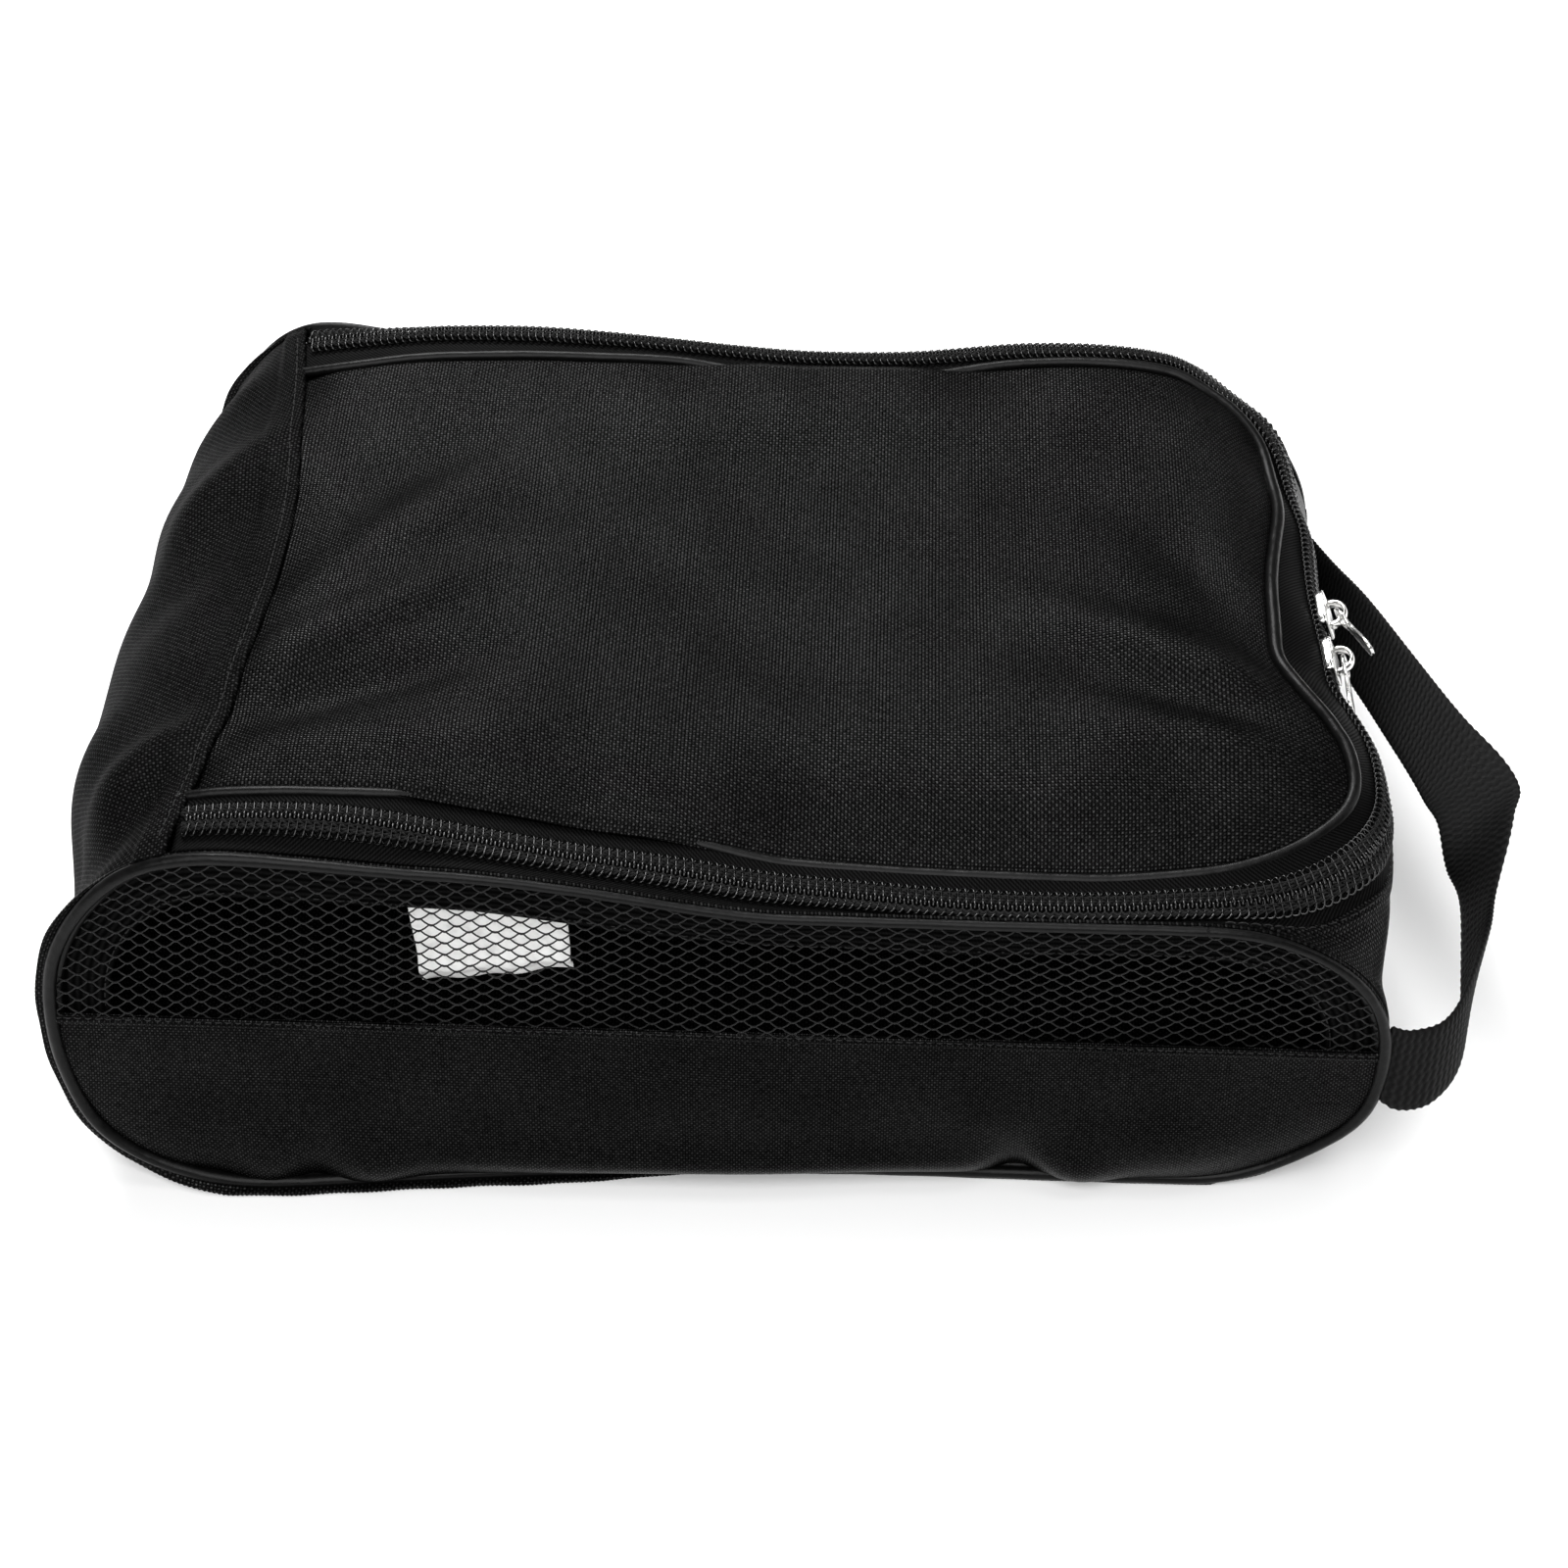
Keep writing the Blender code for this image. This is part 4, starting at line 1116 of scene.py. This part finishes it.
def hem_height(x):
    """The hem slopes down towards the handle end."""
    return HEM_Z - 0.018 * x


def straight_out(which, count):
    return np.tile([0.0, float(which), 0.0], (count, 1))


def hem_level(which, x, offset):
    return (hem_height(x) + offset) / top_height(x, which * SIDE_Y)


def make_lower_panel(name, which):
    x = panel_x(PIPING_R * 1.2, 260)[:, None]
    share = np.linspace(0, 1, 60)[None, :]
    low = 0.5 - rim_half_height(x, PIPING_R * 1.2)
    high = hem_level(which, x, HEM_HEIGHT * 0.3)
    level = low + (high - low) * share
    points = side(which, x, level, belly(x, share) - 0.0006)
    points[..., 2] = np.maximum(points[..., 2], 0.0006)
    weave = cloth_place(x, level * HEIGHT)
    panel = cloth(f"{name}_lower_cloth", points, weave, THIN_CLOTH, NYLON, outward=-which)
    attach(panel, "smooth_nylon", f"{name}_lower_panel")


def make_hem(name, which):
    """The folded band that joins mesh and plain cloth, with a stitch line along it."""
    x = panel_x(PIPING_R * 1.3, 300)[:, None]
    share = np.linspace(0, 1, 11)[None, :]
    half = HEM_HEIGHT / 2
    low, high = hem_level(which, x, -half), hem_level(which, x, half)
    level = low + (high - low) * share
    crowned = 0.0009 * np.sqrt(np.clip(1 - (2 * share - 1) ** 2, 0, 1))
    out = crowned + 0.0002 - 0.00035 * bell(share, 0.72, 0.10)
    points = side(which, x, level, out)
    hem = cloth(f"{name}_hem_cloth", points, cloth_place(x, level * HEIGHT), 0.0010, NYLON, outward=-which)
    attach(hem, "smooth_nylon", f"{name}_hem_tape")
    line = x[:, 0]
    points = side(which, line, hem_level(which, line, half * 0.44), 0.00062)
    outward = straight_out(which, len(line))
    add_stitches(f"{name}_hem_stitches", "smooth_nylon", points, outward, 0.0020, 0.0006)


def net_slack(x, z):
    """How far the knitted mesh hangs in, except over the label."""
    free = 1 - bell(x, -0.059, 0.034)
    return free * (-0.0014 * np.sin(x * 33 + 0.8) * np.sin(z * 90)) - 0.0008


def make_net(name, which):
    """Knitted mesh: hexagonal holes between thin threads that meet in short twisted knots."""
    columns = int(2 * END_X / MESH_SIDE) + 2
    rows = int(0.068 / MESH_RISE) + 3
    c, r = np.meshgrid(np.arange(columns), np.arange(rows), indexing="ij")
    centre_x = -END_X + c * MESH_SIDE
    centre_z = HEM_Z - MESH_RISE * 1.5 + (r + 0.5 * (c % 2)) * MESH_RISE
    knot, reach = MESH_KNOT / 2, MESH_SIDE - MESH_KNOT / 2
    # Each hole owns its top edge, which is the knot, and the two threads that leave its ends.
    corners = {
        "left": (-knot, MESH_RISE / 2),
        "right": (knot, MESH_RISE / 2),
        "far_left": (-reach, 0.0),
        "far_right": (reach, 0.0),
    }

    def spot(corner):
        dx, dz = corners[corner]
        x, z = (centre_x + dx).ravel(), (centre_z + dz).ravel()
        most = 0.0035
        stretch = most * bell(x, -0.115, 0.06) * (z - 0.075) / 0.03
        skew = 0.0030 * bell(x, 0.125, 0.05) * np.sin((z - 0.055) * 55)
        wobble = 0.00018 * np.sin(x * 2100 + z * 900), 0.00018 * np.sin(x * 1300 - z * 1700)
        return x + stretch + wobble[0], z + skew + wobble[1] + 0.0015 * stretch / most

    def inside(x, z):
        top = 0.5 + rim_half_height(x, PIPING_R)
        below_top = z / top_height(x, which * SIDE_Y) < top
        return below_top & (z > hem_height(x) - 0.001) & (np.abs(x) < END_X - PIPING_R * 0.5)

    def place(x, z):
        return side(which, x, z / top_height(x, which * SIDE_Y), net_slack(x, z))

    threads = []
    for start, end in (("left", "right"), ("left", "far_left"), ("right", "far_right")):
        ax, az = spot(start)
        bx, bz = spot(end)
        keep = inside((ax + bx) / 2, (az + bz) / 2)
        threads.append((place(ax, az)[keep], place(bx, bz)[keep]))
    normals = straight_out(which, len(threads[0][0]))
    knots = many_tubes(f"{name}_net_knots", *threads[0], normals, 0.00030, NET, 0.0001)
    starts, ends = (np.concatenate(both) for both in zip(threads[1], threads[2]))
    net = many_tubes(f"{name}_net", starts, ends, straight_out(which, len(starts)), 0.00022, NET, 0.0002)
    attach(net, "knitted_mesh", f"{name}_mesh_panel")
    attach(knots, "knitted_mesh")


def rim_strip(name, which, rows, lowest, width, thickness, look):
    """A strip round a side panel through rows of (inset, out); width is its weave's, in millimetres."""
    points = np.stack([side(which, *rim(inset, RIM_COUNT)[:2], out) for inset, out in rows], 1)
    points[..., 2] = np.maximum(points[..., 2], lowest)
    place = np.linspace(0, 900, RIM_COUNT)[:, None], np.linspace(0, width, len(rows))[None, :]
    weave = np.stack(np.broadcast_arrays(*place), -1)
    return cloth(name, points, weave, thickness, look, outward=which, cyclic=True)


def make_side_piping(name, which):
    """The cord round a side panel, and the flange that it is sewn in by."""
    count = 1100
    x, level, lengths = rim(PIPING_R, count)
    points = side(which, x, level)
    points[:, 2] = np.maximum(points[:, 2], PIPING_R)
    swell = 1 + 0.025 * np.sin(lengths * 150) * np.sin(lengths * 47)
    swell = swell * (1 - 0.26 * smooth(x, -0.130, -0.050) * smooth(level, 0.5, 0.8))
    width, height = 0.00182 * swell, 0.00176 * swell
    outward = straight_out(which, count)
    cord = tube(f"{name}_piping_cord", points, outward, width, height, PIPING, 14, True, lengths)
    attach(cord, "gloss_piping", f"{name}_piping")
    # The cloth flange just inside the cord, that the panel is sewn to
    rows = ((PIPING_R * 1.6, -0.0004), (0.0042, -0.0010), (0.0050, -0.0016))
    flange = rim_strip(f"{name}_piping_flange", which, rows, 0.0006, 4, 0.0006, PIPING)
    attach(flange, "gloss_piping")


def make_binding(name, which):
    """Tape that covers the side seam inside, with a stitched edge."""
    rows = []
    for inset in np.linspace(0.0040, 0.0168, 7):
        sway = 0.0006 * np.sin(rim(inset, RIM_COUNT)[2] * 70 + inset * 400)
        rows.append((inset, -0.0030 + sway))
    tape = rim_strip(f"{name}_binding_tape", which, rows, 0.0022, 12, THIN_CLOTH, BINDING)
    attach(tape, "binding_tape", f"{name}_seam_binding")
    x, level, _ = rim(0.0155, 700)
    points = side(which, x, level, -0.0027)
    outward = straight_out(which, len(x))
    add_stitches(f"{name}_binding_stitches", "binding_tape", points, outward, 0.0022, 0.0008)


def make_label():
    """A plain care label, sewn in at its -X end and folded across near its lower edge."""
    low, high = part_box("care_label")
    u = np.linspace(0, 1, 60)[:, None]
    v = np.linspace(0, 1, 34)[None, :]
    x = low.x + 0.0022 + (high.x - low.x - 0.0040) * u + 0.0012 * (1 - v)
    dropped = 0.0039 - 0.0036 * u + (1 - v) * (0.0025 - 0.0017 * u)
    z = low.z + (high.z - low.z) * v + 0.0018 * (u - 0.5) - dropped
    fold = 0.0020 * bell(v, 0.20, 0.10) - 0.0010 * bell(v, 0.05, 0.08)
    wave = 0.0009 * np.sin(u * 7 + 0.6) * (0.3 + 0.7 * v) + 0.0005 * np.sin(u * 17 + v * 5)
    y = low.y + 0.0026 + wave - fold
    points = np.stack(np.broadcast_arrays(x, y, z), -1)
    label = cloth("care_label_cloth", points, cloth_place(x, z), 0.0003, LABEL)
    attach(label, "label_cloth", "care_label")


def make_seam_lip(name, which):
    """The band's turned edge, which shows as a rough woven lip outside the piping."""
    x, level, lengths = rim(PIPING_R, 1400)
    shown = smooth(-x, -0.010, 0.050) * (1 - smooth(level, 0.72, 0.97))
    shown = np.where(level > 0.5, shown, np.maximum(shown, 0.25))
    keep = level < 0.985
    first = int(np.argmax(~keep & np.roll(keep, -1)))  # the last hidden point before the lip begins
    order = (np.arange(len(x)) + first + 1) % len(x)
    order = order[keep[order]]
    x, level, shown, lengths = x[order], level[order], shown[order], lengths[order]
    centre = side(which, x, level)
    ahead = unit(np.gradient(centre, axis=0))
    radial = unit(np.cross(ahead, np.array([0.0, 1.0, 0.0])))
    middle = side(which, np.clip(x, LEFT_FLAT, RIGHT_FLAT), np.full_like(x, 0.5))
    radial *= np.sign(np.sum(radial * (centre - middle), -1))[:, None]
    floor = smooth(level, 0.10, 0.0)[:, None]
    outward = unit(radial * (1 - 0.9 * floor) + straight_out(which, 1) * (0.12 + 0.9 * floor))
    rough = 1 + 0.06 * np.sin(lengths * 2 * math.pi / 0.0012) + 0.05 * np.sin(lengths * 310)
    share = np.linspace(0, 1, 7)
    width = 0.0006 + (0.0024 + 0.0008 * smooth(level, 0.30, 0.05)) * shown * rough
    spread = width[:, None] * share[None, :]
    lower = np.where(level < 0.5, 0.0007, 0.0)[:, None] * share[None, :]
    points = centre[:, None, :] + outward[:, None, :] * (spread + 0.0008)[..., None]
    points[..., 1] -= which * 0.0009
    points[..., 2] = np.maximum(points[..., 2] - lower, 0.0012)
    weave = cloth_place(lengths[:, None], spread)
    lip = cloth(f"{name}_seam_lip", points, weave, 0.0009, WOVEN, outward=-which)
    attach(lip, "woven_polyester")


def make_sides():
    for name, which in (("near", NEAR), ("far", FAR)):
        for make in (make_lower_panel, make_hem, make_net, make_side_piping, make_seam_lip, make_binding):
            make(name, which)
    make_label()


# Handle

# The webbing's upper and lower edges, from the near side seam round to the far one
STRAP_UPPER = (
    (0.1745, -0.1100, 0.0625), (0.1800, -0.1080, 0.0600), (0.1890, -0.1035, 0.0590),
    (0.1955, -0.0950, 0.0592), (0.2030, -0.0770, 0.0603), (0.2065, -0.0620, 0.0604),
    (0.2130, -0.0350, 0.0610), (0.2185, -0.0185, 0.0612), (0.2080, 0.0050, 0.0612),
    (0.1975, 0.0300, 0.0605), (0.1870, 0.0560, 0.0604), (0.1780, 0.0760, 0.0580),
    (0.1690, 0.1060, 0.0520),
)  # fmt: skip
STRAP_LOWER = (
    (0.1725, -0.1130, 0.0330), (0.1790, -0.1165, 0.0305), (0.1885, -0.1130, 0.0300),
    (0.1970, -0.1000, 0.0330), (0.2005, -0.0760, 0.0372), (0.2030, -0.0510, 0.0436),
    (0.2020, -0.0360, 0.0480), (0.1985, -0.0230, 0.0492), (0.1945, -0.0110, 0.0492),
    (0.1880, 0.0120, 0.0482), (0.1815, 0.0400, 0.0430), (0.1760, 0.0690, 0.0360),
    (0.1690, 0.1060, 0.0280),
)  # fmt: skip


def through(points, count):
    """A smooth curve through a list of points, evenly spaced by their order."""
    points = np.asarray(points, float)
    padded = np.concatenate([[2 * points[0] - points[1]], points, [2 * points[-1] - points[-2]]])
    t = np.linspace(0, len(points) - 1, count)
    i = np.minimum(t.astype(int), len(points) - 2)
    f = (t - i)[:, None]
    a, b, c, d = (padded[i + k] for k in range(4))
    return b + 0.5 * f * (c - a + f * (2 * a - 5 * b + 4 * c - d + f * (3 * (b - c) + d - a)))


def make_handle():
    """The webbing loop: ribs and scalloped edges in the mesh, its ends sewn into the side seams."""
    upper, lower = through(STRAP_UPPER, 900), through(STRAP_LOWER, 900)
    middle, width = (upper + lower) / 2, unit(upper - lower)
    along = lengths_along(middle)
    at = np.linspace(0, along[-1], 620)
    middle, width = resampled(at, along, middle), unit(resampled(at, along, width))
    across = np.linspace(-0.5, 0.5, 49)
    u, v = at[:, None], across[None, :] * STRAP_WIDTH
    pitch_u, pitch_v, rib_height = 0.0011, 0.0032, 0.00024
    lean = np.abs((v / pitch_v) % 1.0 - 0.5) * 2
    relief = np.sin(math.pi * u / pitch_u + 2.0 * lean)
    relief = relief * (0.65 + 0.35 * np.cos(2 * math.pi * v / (pitch_v / 2)))
    on_edge = (np.abs(across) > 0.49)[None, :]
    scallop = 0.00012 * np.sin(2 * math.pi * at / pitch_u / 2)[:, None] * np.sign(v) * on_edge
    points = middle[:, None, :] + width[:, None, :] * (v + scallop)[..., None]
    normals = grid_normals(points)
    thickness = 0.0009 * np.sqrt(np.clip(1.02 - (2 * np.abs(across)) ** 8, 0, 1))[None, :]
    front = points + normals * (thickness * 0.86 + rib_height * relief)[..., None]
    back = points - normals * (thickness * 0.86 - rib_height * relief)[..., None]
    # Painted light: each face's rib crowns are lighter and its grooves darker, kept as the weave's third
    # value for the webbing's colour
    painted_rib_light = np.clip(0.5 + 0.5 * relief, 0, 1)
    place = [np.stack(np.broadcast_arrays(u * MM, v * MM, shade), -1) for shade in (painted_rib_light, 1 - painted_rib_light)]
    faces = sheet_faces(*front.shape[:2])
    strap = add_mesh("handle_webbing", two_layers(front, back), faces, WEBBING, two_layers(*place))
    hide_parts("handle_strap")
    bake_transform(strap)


# Sliders and pulls


def slider_axes(y):
    """The slider's place on the track, and the directions along, across and out of it."""
    s = np.array([TRACK_END])
    origin = band_base(s, np.array([y]))[0]
    normal = raw_normals(band_base, s, np.array([y]))[0]
    along = np.array([0.0, 1.0, 0.0])
    return origin, along, np.cross(along, normal), normal


def loft(rings):
    """Vertices and faces through rings of equal length, closed by one flat face at each end."""
    count, last = len(rings[0]), (len(rings) - 1) * len(rings[0])
    faces = []
    for i in range(0, last, count):
        for j in range(count):
            k = (j + 1) % count
            faces.append([i + j, i + count + j, i + count + k, i + k])
    faces += [list(range(count))[::-1], [last + j for j in range(count)]]
    return np.concatenate(rings), faces


def metal(name, node, parts):
    """Joins lofted parts into one nickel piece, turned outwards and rounded by subdivision."""
    verts, faces, first = [], [], 0
    for part_verts, part_faces in parts:
        verts.append(part_verts)
        faces += [[first + i for i in face] for face in part_faces]
        first += len(part_verts)
    thing = add_mesh(name, np.concatenate(verts), faces, NICKEL, np.zeros((first, 2)))
    face_outwards(thing.data)
    rounding = thing.modifiers.new("rounding", "SUBSURF")
    rounding.levels = rounding.render_levels = 2
    attach(thing, "nickel", node, body=node)


def face_outwards(mesh):
    bm = bmesh.new()
    bm.from_mesh(mesh)
    bmesh.ops.recalc_face_normals(bm, faces=bm.faces)
    bm.to_mesh(mesh)
    bm.free()


def rounded_box_ring(half_u, low_v, high_v, corner):
    """A ring of (u, v) round a box with small chamfers, anticlockwise."""
    in_u, in_low, in_high = half_u - corner, low_v + corner, high_v - corner
    right = [(in_u, low_v), (half_u, in_low), (half_u, in_high), (in_u, high_v)]
    return np.array(right + [(-u, v) for u, v in right[::-1]])


# A box's corners, as signs of its half sizes, anticlockwise
BOX_CORNERS = ((-1, -1), (1, -1), (1, 1), (-1, 1))


def make_slider(name, y):
    """Upper and lower plates with flanges, the wedge between them and the bail that holds the pull."""
    origin, along, across, normal = slider_axes(y)

    def ring(t, outline):
        return origin + along * t + outline[:, :1] * across + outline[:, 1:] * normal

    def plate(low, high, halves):
        rings = []
        for t, half, drop in halves:
            chamfer = min(0.0003, (high - low - 2 * drop) * 0.3)
            rings.append(ring(t, rounded_box_ring(half, low + drop, high - drop, chamfer)))
        return loft(rings)

    top_low, top_high = 0.0019, 0.0031
    # Distance along, half width, and how far the faces draw in there
    plan = [
        (-0.0062, 0.0030, 0.00035), (-0.0060, 0.0038, 0.0001), (-0.0050, 0.0046, 0.0), (-0.0025, 0.0049, 0.0),
        (0.0010, 0.0052, 0.0), (0.0036, 0.0056, 0.0), (0.0054, 0.0053, 0.0), (0.0061, 0.0040, 0.0001),
        (0.0063, 0.0030, 0.00035),
    ]  # fmt: skip
    under = [(t, half * 0.72, drop) for t, half, drop in plan]
    parts = [plate(top_low, top_high, plan), plate(-0.0032, -0.0022, under)]
    for sign in (-1, 1):
        rings = []
        for t, half, _ in plan[1:-1]:
            outer, inner = sign * (half - 0.0001), sign * (half - 0.0010)
            outline = np.array([(outer, 0.0003), (outer, 0.0026), (inner, 0.0026), (inner, 0.0003)])
            rings.append(ring(t, outline[::sign]))
        parts.append(loft(rings))
    wedge = [(0.0030, 0.0004), (0.0040, 0.0006), (0.0056, 0.0006), (0.0060, 0.0003)]
    parts.append(loft([ring(t, rounded_box_ring(half, -0.0026, 0.0024, 0.0001)) for t, half in wedge]))
    arch = []
    for angle in np.linspace(0, 1, 15) * math.pi:
        cosine, sine = math.cos(angle), math.sin(angle)
        lift = top_high - 0.0005 + 0.0049 * sine**0.75
        half_width, half_thick = 0.0011 + 0.0004 * abs(cosine), 0.00065
        corners = [(a * half_width, b * half_thick) for a, b in BOX_CORNERS]
        arch.append(np.array([
            origin + along * (0.0046 * cosine + b * cosine) + across * a + normal * (lift + b * sine)
            for a, b in corners
        ]))
    parts.append(loft(arch))
    metal(f"{name}_body", name, parts)


def make_pull(name, joint, y):
    """A slim pull tab: an eye round the bail and a tongue that narrows and widens again."""
    pivot = np.array(joint["pos_m"])
    _, _, across, normal = slider_axes(y)
    low, high = (np.array(corner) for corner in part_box(name))
    centre = (low + high) / 2
    along = unit(centre - pivot - across * float(np.dot(centre - pivot, across)))
    up = unit(np.cross(across, along))
    if np.dot(up, normal) < 0:
        up = -up
    half_thick = 0.00055
    # Distance from the pivot, half width
    stations = [
        (0.0064, 0.0010), (0.0070, 0.0017), (0.0085, 0.0019), (0.0110, 0.0020), (0.0145, 0.0024),
        (0.0175, 0.0027), (0.0195, 0.0025), (0.0204, 0.0017), (0.0207, 0.0008),
    ]  # fmt: skip
    rings = []
    for t, half in stations:
        outline = rounded_box_ring(half, -half_thick, half_thick, 0.00022)
        rings.append(pivot + along * t + outline[:, :1] * across + outline[:, 1:] * up)
    parts = [loft(rings)]
    count, reach, half_eye, thick = 22, 0.0037, 0.0026, 0.00065
    eye = []
    for share in np.linspace(0, 1, count, endpoint=False):
        cosine, sine = math.cos(2 * math.pi * share), math.sin(2 * math.pi * share)
        centre = pivot + along * (0.0031 - reach * cosine) + across * half_eye * sine
        out = unit(-along * cosine * half_eye + across * sine * reach)
        eye += [centre + out * a * thick + up * b * half_thick for a, b in BOX_CORNERS]
    faces = []
    for i in range(count):
        for j in range(4):
            a, b, k = i * 4, (i + 1) % count * 4, (j + 1) % 4
            faces.append([a + j, b + j, b + k, a + k])
    parts.append((np.array(eye), faces))
    metal(f"{name}_tab", name, parts)


def make_sliders():
    joints = {joint["name"]: joint for joint in frame["joints"]}
    for which in ("near", "far"):
        hinge = joints[f"pull_{which}_hinge"]
        y = hinge["pos_m"][1]
        make_slider(f"slider_{which}", y)
        make_pull(f"pull_{which}", hinge, y)


add_camera()
add_stage()
make_lid()
make_lid_piping()
make_tapes()
make_coils()
make_hinge_end()
make_handle_end()
make_base()
make_sides()
make_handle()
make_sliders()
